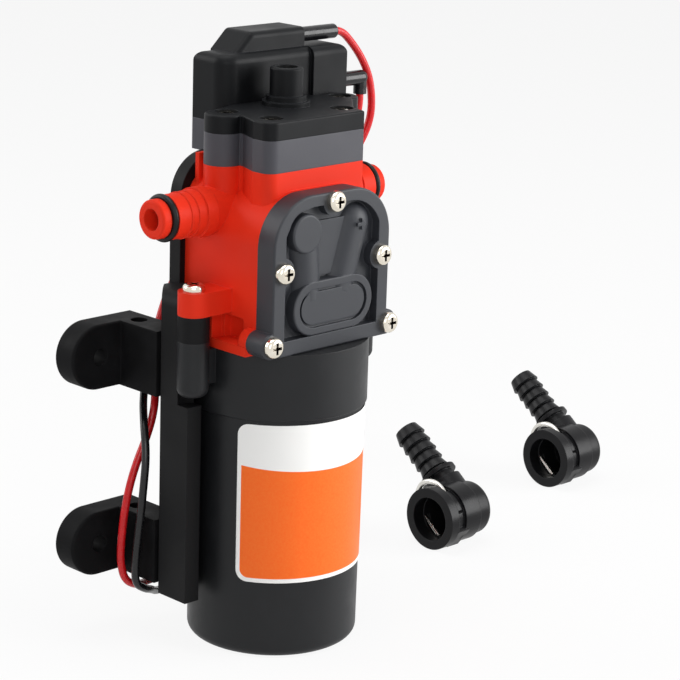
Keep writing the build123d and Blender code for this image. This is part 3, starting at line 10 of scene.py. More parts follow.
import logging
import math
from abc import ABC, abstractmethod
from dataclasses import dataclass, field
from enum import Enum
from typing import Any

import bmesh
import bpy
from mathutils import Matrix, Vector

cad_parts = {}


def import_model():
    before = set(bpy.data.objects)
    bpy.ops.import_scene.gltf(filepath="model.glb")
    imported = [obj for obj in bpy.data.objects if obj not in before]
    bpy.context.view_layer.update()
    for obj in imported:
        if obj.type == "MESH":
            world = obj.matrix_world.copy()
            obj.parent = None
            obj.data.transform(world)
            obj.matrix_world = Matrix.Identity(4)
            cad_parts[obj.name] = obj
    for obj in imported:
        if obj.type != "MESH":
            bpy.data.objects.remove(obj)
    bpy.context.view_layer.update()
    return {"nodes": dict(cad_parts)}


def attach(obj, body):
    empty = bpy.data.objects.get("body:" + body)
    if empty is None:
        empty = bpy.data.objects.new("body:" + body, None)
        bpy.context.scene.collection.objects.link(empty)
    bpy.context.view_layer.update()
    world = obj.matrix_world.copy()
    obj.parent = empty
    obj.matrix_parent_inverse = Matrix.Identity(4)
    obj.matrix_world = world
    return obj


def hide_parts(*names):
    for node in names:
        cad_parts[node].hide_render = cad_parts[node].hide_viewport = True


Point = tuple[float, float, float]
Span = tuple[float, float]
Sources = dict[Any, Any]

LOG = logging.getLogger("pump")
MM = 0.001
MM_PER_METRE = 1000
RIGHT_ANGLE_DEG = 90
# One unit of the label's UV map, in millimetres
UV_UNIT_MM = 100
BEVEL_SAMPLES = 6
OCCLUSION_SAMPLES = 8
# How far the rounded normal agrees with the face's own: from a flat face to a full edge
EDGE_COSINES: Span = (0.995, 0.86)
# The noise texture hardly leaves this span
NOISE_SPAN: Span = (0.3, 0.7)
FULL_SPAN: Span = (0.0, 1.0)
# Input and output numbers of a Mix node that is set to colours
MIX_SHARE, MIX_FIRST, MIX_SECOND, MIX_RESULT = 0, 6, 7, 2


class Body(Enum):
    """CAD body that the scene's own pieces ride on."""

    PUMP = "pump"


class Slot(Enum):
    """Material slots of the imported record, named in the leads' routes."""

    LABEL = "label"
    RED_LEAD = "red_lead"
    BLACK_LEAD = "black_lead"


def linear(colour: str) -> tuple[float, float, float, float]:
    """Turn an sRGB hex colour to linear RGBA.

    Args:
        colour: Colour as "#RRGGBB".

    Returns:
        Red, green, blue and alpha as Blender's shaders take them.
    """
    parts = [int(colour[i:i + 2], 16) / 255 for i in (1, 3, 5)]
    red, green, blue = (p / 12.92 if p <= 0.04045 else ((p + 0.055) / 1.055) ** 2.4 for p in parts)
    return red, green, blue, 1.0


def around(value: float, change: Span) -> Span:
    """Span about a value.

    Args:
        value: The middle value.
        change: What is added to it at the start and at the end of the span.

    Returns:
        Start and end of the span.
    """
    return value + change[0], value + change[1]


def add_node(
    tree: bpy.types.NodeTree,
    kind: str,
    settings: dict[Any, Any] | None = None,
    links: dict[Any, bpy.types.NodeSocket] | None = None,
) -> bpy.types.Node:
    """Add one node with its settings and links.

    Args:
        tree: Node tree that gets the node.
        kind: Blender's name for the node.
        settings: Values by attribute name, input name or input number. Attributes come first.
        links: Source sockets by input name or number.

    Returns:
        The new node.
    """
    node = tree.nodes.new(kind)
    for key, value in (settings or {}).items():
        if isinstance(key, str) and hasattr(node, key) and key not in node.inputs:
            setattr(node, key, value)
        else:
            node.inputs[key].default_value = value
    for key, socket in (links or {}).items():
        tree.links.new(socket, node.inputs[key])
    return node


def feed(tree: bpy.types.NodeTree, node: bpy.types.Node, sources: Sources) -> None:
    """Give a node's inputs their sources: a socket is linked, a value is set.

    Args:
        tree: Node tree of the node.
        node: Node to feed.
        sources: Sockets or values by input name or number.
    """
    for key, source in sources.items():
        if isinstance(source, bpy.types.NodeSocket):
            tree.links.new(source, node.inputs[key])
        else:
            node.inputs[key].default_value = source


def object_place(tree: bpy.types.NodeTree) -> bpy.types.NodeSocket:
    """Give the Object coordinates.

    Args:
        tree: Node tree of the material.

    Returns:
        Socket with the place on the object, in metres.
    """
    return add_node(tree, "ShaderNodeTexCoord").outputs["Object"]


def add_noise(
    tree: bpy.types.NodeTree,
    place: bpy.types.NodeSocket,
    size_mm: float,
    detail: float,
    roughness: float = 0.5,
    distortion: float = 0.0,
) -> bpy.types.NodeSocket:
    """Add a noise texture.

    Args:
        tree: Node tree of the material.
        place: Coordinates in metres.
        size_mm: Size of the largest patches, in millimetres.
        detail: Number of finer layers.
        roughness: Strength of the finer layers.
        distortion: How far the patches are drawn out.

    Returns:
        Socket with the noise.
    """
    settings = {"Scale": MM_PER_METRE / size_mm, "Detail": detail, "Roughness": roughness,
                "Distortion": distortion}
    return add_node(tree, "ShaderNodeTexNoise", settings, {"Vector": place}).outputs["Fac"]


def add_range(
    tree: bpy.types.NodeTree,
    source: bpy.types.NodeSocket,
    span: Span,
    result: Span = FULL_SPAN,
) -> bpy.types.NodeSocket:
    """Stretch one span of a value to another, and hold it at the ends.

    Args:
        tree: Node tree of the material.
        source: The value.
        span: Start and end of the span that is read.
        result: What the start and the end become.

    Returns:
        Socket with the stretched value.
    """
    settings = {"From Min": span[0], "From Max": span[1], "To Min": result[0], "To Max": result[1]}
    return add_node(tree, "ShaderNodeMapRange", settings, {"Value": source}).outputs["Result"]


def add_math(
    tree: bpy.types.NodeTree,
    operation: str,
    first: bpy.types.NodeSocket,
    second: bpy.types.NodeSocket | float | None = None,
) -> bpy.types.NodeSocket:
    """Add one sum.

    Args:
        tree: Node tree of the material.
        operation: Blender's name for the sum.
        first: First operand.
        second: Second operand, where the sum takes one.

    Returns:
        Socket with the result.
    """
    node = add_node(tree, "ShaderNodeMath", {"operation": operation}, {0: first})
    if second is not None:
        feed(tree, node, {1: second})
    return node.outputs[0]


def mix_colours(
    tree: bpy.types.NodeTree,
    share: bpy.types.NodeSocket,
    first: bpy.types.NodeSocket | str,
    second: bpy.types.NodeSocket | str,
) -> bpy.types.NodeSocket:
    """Mix two colours.

    Args:
        tree: Node tree of the material.
        share: 0 for the first colour, 1 for the second.
        first: Socket or sRGB hex colour.
        second: Socket or sRGB hex colour.

    Returns:
        Socket with the mixed colour.
    """
    node = add_node(tree, "ShaderNodeMix", {"data_type": "RGBA"}, {MIX_SHARE: share})
    for key, colour in ((MIX_FIRST, first), (MIX_SECOND, second)):
        feed(tree, node, {key: linear(colour) if isinstance(colour, str) else colour})
    return node.outputs[MIX_RESULT]


def add_bevel(tree: bpy.types.NodeTree, radius_mm: float) -> bpy.types.NodeSocket:
    """Round the edges in the light only.

    Args:
        tree: Node tree of the material.
        radius_mm: Radius of the edges, in millimetres.

    Returns:
        Socket with the rounded normal.
    """
    settings = {"samples": BEVEL_SAMPLES, "Radius": radius_mm * MM}
    return add_node(tree, "ShaderNodeBevel", settings).outputs["Normal"]


def add_bump(
    tree: bpy.types.NodeTree,
    height: bpy.types.NodeSocket,
    depth_mm: float,
    normal: bpy.types.NodeSocket | None = None,
    strength: float = 1.0,
) -> bpy.types.NodeSocket:
    """Add fine relief to a surface.

    Args:
        tree: Node tree of the material.
        height: Relief from 0 to 1.
        depth_mm: Depth of the whole relief, in millimetres.
        normal: Normal that it starts from, where that isn't the surface's own.
        strength: Share of the relief that shows.

    Returns:
        Socket with the normal.
    """
    links = {"Height": height} if normal is None else {"Height": height, "Normal": normal}
    settings = {"Strength": strength, "Distance": depth_mm * MM}
    return add_node(tree, "ShaderNodeBump", settings, links).outputs["Normal"]


@dataclass(frozen=True)
class Finish(ABC):
    """Surface of one real material."""

    name: str

    def build(self) -> bpy.types.Material:
        """Make the material.

        Returns:
            The material.
        """
        material = bpy.data.materials.new(self.name)
        material.use_nodes = True
        tree = material.node_tree
        tree.nodes.clear()
        shader = add_node(tree, "ShaderNodeBsdfPrincipled")
        add_node(tree, "ShaderNodeOutputMaterial", links={"Surface": shader.outputs["BSDF"]})
        feed(tree, shader, self.look(tree))
        return material

    @abstractmethod
    def look(self, tree: bpy.types.NodeTree) -> Sources:
        """Add the nodes that give the material its look.

        Args:
            tree: Node tree of the material.

        Returns:
            Sockets and values for the Principled shader, by input name.
        """


@dataclass(frozen=True)
class MouldedPlastic(Finish):
    """Injection-moulded part.

    It has fine spark-eroded grain, slow gloss changes from the melt's flow, and paler rubbed edges.
    """

    colour: str
    worn: str
    roughness: float
    specular: float
    wear: float = 0.35
    grain_mm: float = 0.7
    grain_depth_mm: float = 0.012
    flow_mm: float = 14.0
    edge_mm: float = 0.3
    gloss_change: Span = (-0.08, 0.08)

    def look(self, tree: bpy.types.NodeTree) -> Sources:
        """Add grain, flow and rubbed edges.

        Args:
            tree: Node tree of the material.

        Returns:
            Sockets and values for the Principled shader, by input name.
        """
        place = object_place(tree)
        grain = add_noise(tree, place, self.grain_mm, detail=3.0, roughness=0.55)
        flow = add_noise(tree, place, self.flow_mm, detail=2.0, distortion=0.6)
        rounded = add_bevel(tree, self.edge_mm)
        own = add_node(tree, "ShaderNodeNewGeometry").outputs["Normal"]
        facing = add_node(tree, "ShaderNodeVectorMath", {"operation": "DOT_PRODUCT"}, {0: rounded, 1: own})
        edge = add_range(tree, facing.outputs["Value"], EDGE_COSINES, (0.0, self.wear))
        rubbed = add_math(tree, "MULTIPLY", edge, flow)
        return {
            "Base Color": mix_colours(tree, rubbed, self.colour, self.worn),
            "Roughness": add_range(tree, flow, NOISE_SPAN, around(self.roughness, self.gloss_change)),
            "Normal": add_bump(tree, grain, self.grain_depth_mm, rounded),
            "Specular IOR Level": self.specular,
        }


@dataclass(frozen=True)
class PaintedSteel(Finish):
    """Drawn steel under black paint: satin, with a faint orange-peel ripple and a little dust."""

    colour: str
    dust: str
    roughness: float
    specular: float
    peel_mm: float = 1.6
    peel_depth_mm: float = 0.006
    dust_mm: float = 9.0
    dust_span: Span = (0.5, 0.9)
    dust_share: float = 0.25
    edge_mm: float = 0.3
    gloss_span: Span = (0.35, 0.75)
    gloss_change: Span = (-0.04, 0.12)

    def look(self, tree: bpy.types.NodeTree) -> Sources:
        """Add ripple and dust.

        Args:
            tree: Node tree of the material.

        Returns:
            Sockets and values for the Principled shader, by input name.
        """
        place = object_place(tree)
        peel = add_noise(tree, place, self.peel_mm, detail=2.0)
        dust = add_noise(tree, place, self.dust_mm, detail=6.0, roughness=0.7)
        dusty = add_range(tree, dust, self.dust_span, (0.0, self.dust_share))
        return {
            "Base Color": mix_colours(tree, dusty, self.colour, self.dust),
            "Roughness": add_range(tree, dust, self.gloss_span, around(self.roughness, self.gloss_change)),
            "Normal": add_bump(tree, peel, self.peel_depth_mm, add_bevel(tree, self.edge_mm)),
            "Specular IOR Level": self.specular,
        }


@dataclass(frozen=True)
class PlatedMetal(Finish):
    """Plated or bright-drawn metal.

    It is a mirror broken by fine tumbling marks, warmer where it is thin, with painted shade in its hollows.
    """

    colour: str
    thin: str
    roughness: float
    mark_mm: float = 0.5
    mark_depth_mm: float = 0.004
    patch_mm: float = 3.5
    # Colour of the painted shade that the occlusion node lays in the hollows
    painted_hollow_shade: str = "#241A16"
    hollow_mm: float = 1.2
    open_span: Span = (0.4, 0.8)
    gloss_share: Span = (0.75, 1.35)

    def look(self, tree: bpy.types.NodeTree) -> Sources:
        """Add tumbling marks, thin patches and painted shade in the hollows.

        Args:
            tree: Node tree of the material.

        Returns:
            Sockets and values for the Principled shader, by input name.
        """
        place = object_place(tree)
        marks = add_noise(tree, place, self.mark_mm, detail=4.0, roughness=0.6)
        patch = add_noise(tree, place, self.patch_mm, detail=2.0)
        tint = mix_colours(tree, patch, self.colour, self.thin)
        # Painted shade: the occlusion node darkens the colour towards the hollows
        hollow = add_node(tree, "ShaderNodeAmbientOcclusion",
                          {"samples": OCCLUSION_SAMPLES, "only_local": True, "Distance": self.hollow_mm * MM})
        unshaded_share = add_range(tree, hollow.outputs["AO"], self.open_span)
        smooth, rough = (self.roughness * share for share in self.gloss_share)
        return {
            "Base Color": mix_colours(tree, unshaded_share, self.painted_hollow_shade, tint),
            "Roughness": add_range(tree, marks, NOISE_SPAN, (smooth, rough)),
            "Normal": add_bump(tree, marks, self.mark_depth_mm),
            "Metallic": 1.0,
        }


@dataclass(frozen=True)
class SoftRubber(Finish):
    """Compression-moulded rubber: matte, with a bloom of paler wax and a soft pebbled skin."""

    colour: str
    bloom: str
    roughness: float
    specular: float
    pebble_mm: float = 1.1
    pebble_depth_mm: float = 0.02
    wax_mm: float = 8.0
    wax_span: Span = (0.45, 0.8)
    wax_share: float = 0.5
    edge_mm: float = 0.5
    gloss_span: Span = (0.3, 0.75)
    gloss_change: Span = (-0.1, 0.12)

    def look(self, tree: bpy.types.NodeTree) -> Sources:
        """Add pebbles and bloom.

        Args:
            tree: Node tree of the material.

        Returns:
            Sockets and values for the Principled shader, by input name.
        """
        place = object_place(tree)
        pebble = add_noise(tree, place, self.pebble_mm, detail=4.0, roughness=0.6)
        wax = add_noise(tree, place, self.wax_mm, detail=5.0, roughness=0.65)
        waxy = add_range(tree, wax, self.wax_span, (0.0, self.wax_share))
        return {
            "Base Color": mix_colours(tree, waxy, self.colour, self.bloom),
            "Roughness": add_range(tree, wax, self.gloss_span, around(self.roughness, self.gloss_change)),
            "Normal": add_bump(tree, pebble, self.pebble_depth_mm, add_bevel(tree, self.edge_mm)),
            "Specular IOR Level": self.specular,
        }


@dataclass(frozen=True)
class SoftPvc(Finish):
    """Plasticised PVC on a lead or a terminal: wet gloss, with the slow ripple of extrusion along it."""

    colour: str
    deep: str
    roughness: float
    ripple_mm: float = 2.4
    ripple_depth_mm: float = 0.03
    specular: float = 0.35
    gloss_change: Span = (-0.06, 0.1)

    def look(self, tree: bpy.types.NodeTree) -> Sources:
        """Add the ripple.

        Args:
            tree: Node tree of the material.

        Returns:
            Sockets and values for the Principled shader, by input name.
        """
        ripple = add_noise(tree, object_place(tree), self.ripple_mm, detail=2.0)
        return {
            "Base Color": mix_colours(tree, ripple, self.colour, self.deep),
            "Roughness": add_range(tree, ripple, NOISE_SPAN, around(self.roughness, self.gloss_change)),
            "Normal": add_bump(tree, ripple, self.ripple_depth_mm),
            "Specular IOR Level": self.specular,
        }


@dataclass(frozen=True)
class PrintedVinyl(Finish):
    """Self-adhesive vinyl under a satin laminate.

    It is printed orange, with an unprinted white margin and head band.
    """

    ink: str
    pale_ink: str
    paper: str
    half_width_mm: float
    half_height_mm: float
    margin_mm: float = 1.1
    corner_mm: float = 2.2
    band_mm: float = 11.0
    band_bow_mm: float = 1.6
    soft_mm: float = 0.05
    fibre_mm: float = 0.6
    fibre_depth_mm: float = 0.004
    roughness: float = 0.42
    specular: float = 0.2

    def look(self, tree: bpy.types.NodeTree) -> Sources:
        """Add the printed field and the laminate's fibres.

        The UV map gives the place from the label's centre.

        Args:
            tree: Node tree of the material.

        Returns:
            Sockets and values for the Principled shader, by input name.
        """
        flat = add_node(tree, "ShaderNodeUVMap", {"uv_map": "label"})
        parts = add_node(tree, "ShaderNodeSeparateXYZ", links={0: flat.outputs["UV"]})
        printed = add_math(tree, "MULTIPLY", self._inside(tree, parts), self._band(tree, parts))
        fibre = add_noise(tree, object_place(tree), self.fibre_mm, detail=3.0)
        shade = mix_colours(tree, fibre, self.ink, self.pale_ink)
        return {
            "Base Color": mix_colours(tree, printed, self.paper, shade),
            "Roughness": self.roughness,
            "Normal": add_bump(tree, fibre, self.fibre_depth_mm),
            "Specular IOR Level": self.specular,
        }

    def _inside(self, tree: bpy.types.NodeTree, parts: bpy.types.Node) -> bpy.types.NodeSocket:
        """Mask of the printed field, a rounded rectangle inside the margin.

        Args:
            tree: Node tree of the material.
            parts: Node that gives the flat place on the label.

        Returns:
            Socket that is 1 in the field and 0 on the margin.
        """
        squares = []
        for number, half in enumerate((self.half_width_mm, self.half_height_mm)):
            reach = half - self.margin_mm - self.corner_mm
            size = add_math(tree, "ABSOLUTE", parts.outputs[number])
            over = add_math(tree, "SUBTRACT", size, reach / UV_UNIT_MM)
            squares.append(add_math(tree, "POWER", add_math(tree, "MAXIMUM", over, 0.0), 2.0))
        distance = add_math(tree, "SQRT", add_math(tree, "ADD", *squares))
        outer, inner = self.corner_mm + self.soft_mm, self.corner_mm - self.soft_mm
        return add_range(tree, distance, (outer / UV_UNIT_MM, inner / UV_UNIT_MM))

    def _band(self, tree: bpy.types.NodeTree, parts: bpy.types.Node) -> bpy.types.NodeSocket:
        """Mask that is 0 on the white head band, whose lower edge bows down in the middle.

        Args:
            tree: Node tree of the material.
            parts: Node that gives the flat place on the label.

        Returns:
            Socket that is 1 below the band.
        """
        bow = self.band_bow_mm / UV_UNIT_MM / (self.half_width_mm / UV_UNIT_MM) ** 2
        rise = add_math(tree, "MULTIPLY", add_math(tree, "POWER", parts.outputs[0], 2.0), bow)
        height = add_math(tree, "SUBTRACT", parts.outputs[1], rise)
        limit = (self.half_height_mm - self.band_mm - self.band_bow_mm) / UV_UNIT_MM
        soft = self.soft_mm / UV_UNIT_MM
        return add_range(tree, height, (limit + soft, limit - soft))


@dataclass(frozen=True)
class PressedPowder(Finish):
    """Pressed and sintered block, such as ferrite or carbon: dull, with a fine pitted face."""

    colour: str
    pit: str
    roughness: float = 0.7
    pit_mm: float = 0.8
    pit_depth_mm: float = 0.03
    pit_strength: float = 0.6

    def look(self, tree: bpy.types.NodeTree) -> Sources:
        """Add the pits.

        Args:
            tree: Node tree of the material.

        Returns:
            Sockets and values for the Principled shader, by input name.
        """
        settings = {"Scale": MM_PER_METRE / self.pit_mm}
        pits = add_node(tree, "ShaderNodeTexVoronoi", settings, {"Vector": object_place(tree)})
        height = pits.outputs["Distance"]
        return {
            "Base Color": mix_colours(tree, height, self.pit, self.colour),
            "Roughness": self.roughness,
            "Normal": add_bump(tree, height, self.pit_depth_mm, strength=self.pit_strength),
        }


@dataclass
class Finishes:
    """Every finish of the pump, made once and shared."""

    made: dict[str, bpy.types.Material] = field(default_factory=dict)

    def build(self) -> None:
        """Make the materials."""
        finishes = {
            # Glass-filled polypropylene: neutral black, satin, fine grain that scatters the lamps
            "bracket": MouldedPlastic(
                "polypropylene_black", "#161617", "#2E2F32", roughness=0.5, specular=0.1,
            ),
            # Nylon cover with a steel-blue sheen on its flat face
            "cover": MouldedPlastic(
                "nylon_cover_black", "#303237", "#5E626A", roughness=0.46, specular=0.34, wear=0.6,
            ),
            # Nylon of the switch's lower part: its base colour is a lighter grey than the switch's cover as a
            # painted sheen
            "switch_base": MouldedPlastic(
                "nylon_switch_base_painted_sheen", "#45454B", "#63646A", roughness=0.5, specular=0.3, wear=0.4,
            ),
            # Plain nylon of the switch's cover and housing, blacker and smoother
            "switch": MouldedPlastic(
                "nylon_switch_black", "#121315", "#3E4146", roughness=0.46, specular=0.12, wear=0.5,
            ),
            # ABS housing, orange-red all through, so its rubbed edges only get paler
            "housing": MouldedPlastic(
                "abs_housing_orange", "#E6321A", "#EE5236", roughness=0.5, specular=0.12,
                grain_depth_mm=0.008,
            ),
            # Acetal elbow: smoother and glossier than the pump's mouldings
            "elbow": MouldedPlastic(
                "acetal_elbow_black", "#111113", "#3C3E42", roughness=0.34, specular=0.16, wear=0.5,
                grain_mm=1.2,
            ),
            # Electrophoretic paint on the drawn can and its die-cast flange: satin black under grey dust
            "can": PaintedSteel(
                "electrocoated_steel_black", "#18191B", "#2A2B2E", roughness=0.42, specular=0.26,
            ),
            # Nickel-plated pan heads with a warm grey mirror
            "screw": PlatedMetal("nickel_plated_steel", "#EFEAE0", "#D2C8B4", roughness=0.16),
            # Stainless spring wire, drawn bright
            "clip": PlatedMetal("stainless_spring_wire", "#E4E2DD", "#C9C6BF", roughness=0.2, mark_mm=0.9),
            # Ground bearing and shaft steel inside: a dimmer, bluer mirror than the nickel
            "steel": PlatedMetal("ground_bearing_steel", "#A9ACB0", "#8C8F94", roughness=0.3),
            # Tinned brass blades on the switch, yellow where the tin is thin
            "brass": PlatedMetal("tinned_brass", "#CDB98A", "#A98F58", roughness=0.32),
            # Bare copper strands at the leads' stripped ends, a little tarnished
            "copper": PlatedMetal(
                "stranded_copper", "#D9824F", "#A65A36", roughness=0.34, mark_mm=0.3, mark_depth_mm=0.03,
            ),
            # Ethylene rubber of the O-rings and valves: black, with a slight shine from the silicone grease
            "o_ring": SoftRubber("epdm_seal_black", "#101011", "#202124", roughness=0.4, specular=0.2),
            # Natural rubber of the feet: the deepest black, with hardly any shine
            "foot": SoftRubber(
                "natural_rubber_foot_black", "#111112", "#1E1E20", roughness=0.6, specular=0.06,
            ),
            # Red PVC of the leads: clear signal red that darkens slightly along the ripple
            "red_lead": SoftPvc("pvc_lead_red", "#E01C22", "#B81218", roughness=0.26),
            # Black PVC of the negative lead, as glossy as the red
            "black_lead": SoftPvc("pvc_lead_black", "#121214", "#1C1C1E", roughness=0.26),
            # Heat-shrunk black sleeve over the terminals, wet-looking
            "sleeve": SoftPvc("pvc_sleeve_black", "#0E0E10", "#17171A", roughness=0.2),
            # Ferrite magnets: dull dark grey, pitted
            "ferrite": PressedPowder("sintered_ferrite", "#3B3B3F", "#26262A"),
            # Graphite brushes: near black, pitted
            "carbon": PressedPowder("graphite_brush", "#2A2A2B", "#151516"),
        }
        for key, finish in finishes.items():
            self.made[key] = finish.build()

    def dress(self, piece: bpy.types.Object, key: str) -> None:
        """Put one finish on every face of a piece.

        Args:
            piece: Object that gets the finish.
            key: Name of the finish in this set.
        """
        if not piece.data.materials:
            piece.data.materials.append(self.made[key])
        for number in range(len(piece.data.materials)):
            piece.data.materials[number] = self.made[key]


def link_piece(name: str, data: bpy.types.ID) -> bpy.types.Object:
    """Put a mesh, curve, lamp or camera in the scene as an object at the origin.

    Args:
        name: Name of the object.
        data: Its data.

    Returns:
        The new object.
    """
    piece = bpy.data.objects.new(name, data)
    bpy.context.scene.collection.objects.link(piece)
    return piece


@dataclass(frozen=True)
class Softbox:
    """Soft square lamp turned towards a point."""

    name: str
    place_mm: Point
    target_mm: Point
    side_mm: float
    power_w: float

    def build(self) -> None:
        """Hang the lamp and turn it to its target."""
        data = bpy.data.lights.new(self.name, "AREA")
        data.size = self.side_mm * MM
        data.energy = self.power_w
        lamp = link_piece(self.name, data)
        place = Vector(self.place_mm)
        lamp.location = place * MM
        lamp.rotation_euler = (Vector(self.target_mm) - place).to_track_quat("-Z", "Y").to_euler()


SOFTBOXES = (
    Softbox("key_softbox", place_mm=(620, -640, 330), target_mm=(20, 0, 90), side_mm=620, power_w=8.5),
    Softbox("fill_softbox", place_mm=(-620, -640, 420), target_mm=(0, 0, 90), side_mm=500, power_w=2.2),
    Softbox("top_softbox", place_mm=(-60, 60, 900), target_mm=(20, 0, 60), side_mm=620, power_w=3.8),
    Softbox("rim_softbox", place_mm=(-420, 620, 420), target_mm=(0, 0, 100), side_mm=420, power_w=2.0),
)


@dataclass
class Studio:
    """Camera of the photograph, pale floor, white surroundings and soft lamps."""

    azimuth_deg: float = -45.0
    elevation_deg: float = 15.31
    roll_deg: float = 1.83
    eye_mm: Point = (-421.1, -443.8, 247.4)
    focal_px: float = 2444.8
    frame_px: int = 680
    sensor_mm: float = 36.0
    clip_m: Span = (0.01, 20.0)
    floor_side_m: float = 6.0
    floor_glow_share: float = 0.9
    world_strength: float = 0.15
    lamps: tuple[Softbox, ...] = SOFTBOXES

    def build(self) -> None:
        """Make the camera, floor, surroundings and lamps."""
        bpy.context.scene.view_settings.view_transform = "Standard"
        self._camera()
        self._floor()
        self._surroundings()
        for lamp in self.lamps:
            lamp.build()

    def _camera(self) -> None:
        """Camera solved from the photograph."""
        turn, lift, roll = (math.radians(a) for a in (self.azimuth_deg, self.elevation_deg, self.roll_deg))
        back = Vector((math.sin(turn) * math.cos(lift), -math.cos(turn) * math.cos(lift), math.sin(lift)))
        right = Vector((math.cos(turn), math.sin(turn), 0.0))
        up = back.cross(right)
        tilted_right = math.cos(roll) * right + math.sin(roll) * up
        tilted_up = math.cos(roll) * up - math.sin(roll) * right
        data = bpy.data.cameras.new("camera")
        data.sensor_width = self.sensor_mm
        data.lens = self.focal_px / self.frame_px * self.sensor_mm
        data.clip_start, data.clip_end = self.clip_m
        camera = link_piece("camera", data)
        axes = Matrix((tilted_right, tilted_up, back)).transposed().to_4x4()
        camera.matrix_world = Matrix.Translation(Vector(self.eye_mm) * MM) @ axes
        bpy.context.scene.camera = camera

    def _floor(self) -> None:
        """Pale floor that shows white to the camera and keeps the pump's shadow."""
        bpy.ops.mesh.primitive_plane_add(size=self.floor_side_m)
        floor = bpy.context.object
        floor.name = "floor"
        material = bpy.data.materials.new("pale_floor")
        material.use_nodes = True
        tree = material.node_tree
        tree.nodes.clear()
        paint = add_node(tree, "ShaderNodeBsdfDiffuse", {"Color": linear("#EDEDED")})
        glow = add_node(tree, "ShaderNodeEmission", {"Color": linear("#FFFFFF"), "Strength": 1.0})
        both = add_node(tree, "ShaderNodeMixShader", {0: self.floor_glow_share},
                        {1: paint.outputs[0], 2: glow.outputs[0]})
        shown = add_node(tree, "ShaderNodeMixShader",
                         links={0: self._seen(tree), 1: paint.outputs[0], 2: both.outputs[0]})
        add_node(tree, "ShaderNodeOutputMaterial", links={"Surface": shown.outputs[0]})
        floor.data.materials.append(material)

    def _surroundings(self) -> None:
        """World that is white to the camera and to mirrors, and a soft grey as light."""
        world = bpy.data.worlds.new("studio")
        world.use_nodes = True
        bpy.context.scene.world = world
        tree = world.node_tree
        tree.nodes.clear()
        light, white = (
            add_node(tree, "ShaderNodeBackground", {"Color": linear("#FFFFFF"), "Strength": strength})
            for strength in (self.world_strength, 1.0)
        )
        shown = add_node(tree, "ShaderNodeMixShader",
                         links={0: self._seen(tree), 1: light.outputs[0], 2: white.outputs[0]})
        add_node(tree, "ShaderNodeOutputWorld", links={"Surface": shown.outputs[0]})

    def _seen(self, tree: bpy.types.NodeTree) -> bpy.types.NodeSocket:
        """Socket that is 1 for camera, glossy and transmission rays.

        Args:
            tree: Node tree of the floor or the world.

        Returns:
            The socket.
        """
        path = add_node(tree, "ShaderNodeLightPath")
        first = add_math(tree, "MAXIMUM", path.outputs["Is Camera Ray"], path.outputs["Is Glossy Ray"])
        return add_math(tree, "MAXIMUM", first, path.outputs["Is Transmission Ray"])


@dataclass(frozen=True)
class Route:
    """One lead: its control points in millimetres, what it stands for and where it ends."""

    name: str
    nodes: tuple[str, ...]
    finish: str
    slot: Slot
    length_mm: float
    points: tuple[Point, ...]
    bare_end: str = ""


UPPER_LEAD = Route(
    "lead_upper_cord", ("lead_upper",), "red_lead", Slot.RED_LEAD, 139.1,
    (
        (34.8, 18.0, 155.0), (37.3, 18.0, 155.0), (41.3, 17.8, 151.4), (44.9, 17.4, 147.0),
        (47.9, 17.2, 141.6), (49.0, 17.0, 135.4), (48.8, 17.2, 129.4), (45.6, 18.0, 122.6),
        (40.4, 19.6, 115.4), (33.4, 21.8, 108.0), (25.4, 24.6, 100.4), (20.6, 27.4, 90.6),
        (17.2, 29.2, 80.6), (13.6, 29.7, 69.6), (10.4, 29.6, 57.6), (8.6, 29.7, 45.6),
        (8.2, 29.6, 34.6),
    ),
    "bare_end_red",
)
RED_LEAD = Route(
    "lead_red_cord", ("lead_lower", "lead_motor_red"), "red_lead", Slot.RED_LEAD, 190.8,
    (
        (44.2, 17.0, 137.4), (44.2, 17.0, 133.4), (42.8, 17.6, 128.2), (39.4, 18.6, 122.0),
        (34.4, 20.4, 115.2), (26.4, 22.0, 107.6), (15.0, 22.8, 102.2), (4.0, 22.8, 99.4),
        (-4.0, 25.2, 97.6), (-9.2, 28.4, 94.4), (-13.2, 29.0, 88.2), (-18.4, 27.6, 78.0),
        (-20.9, 24.6, 71.5), (-22.2, 22.6, 64.6), (-24.2, 20.8, 59.6), (-27.2, 20.0, 53.6),
        (-30.6, 20.0, 47.4), (-33.2, 20.0, 40.6), (-34.8, 20.0, 33.2), (-35.6, 20.0, 26.6),
        (-35.8, 20.0, 21.0), (-34.2, 20.2, 15.6), (-29.6, 20.6, 12.8), (-22.5, 24.4, 11.4),
        (-13.075, 25.997, 11.1), (-9.481, 18.85, 11.1),
    ),
)
BLACK_LEAD = Route(
    "lead_black_cord", ("lead_motor_black",), "black_lead", Slot.BLACK_LEAD, 143.7,
    (
        (-9.481, 18.85, 8.1), (-13.075, 25.997, 8.1), (-20.8, 22.6, 8.4), (-26.5, 18.6, 11.6),
        (-30.2, 16.6, 13.2), (-34.2, 15.8, 15.8), (-34.6, 15.4, 21.6), (-34.2, 15.2, 27.0),
        (-33.2, 15.0, 35.0), (-32.4, 15.0, 42.0), (-31.2, 15.4, 50.6), (-29.4, 18.6, 57.4),
        (-24.0, 25.5, 61.8), (-21.2, 27.7, 66.8), (-20.0, 29.4, 72.0), (-16.4, 30.2, 76.4),
        (-11.6, 30.0, 77.0), (-7.6, 29.8, 72.2), (-6.2, 29.7, 63.0), (-5.6, 29.8, 51.0),
        (-6.6, 29.7, 40.0),
    ),
    "bare_end_black",
)


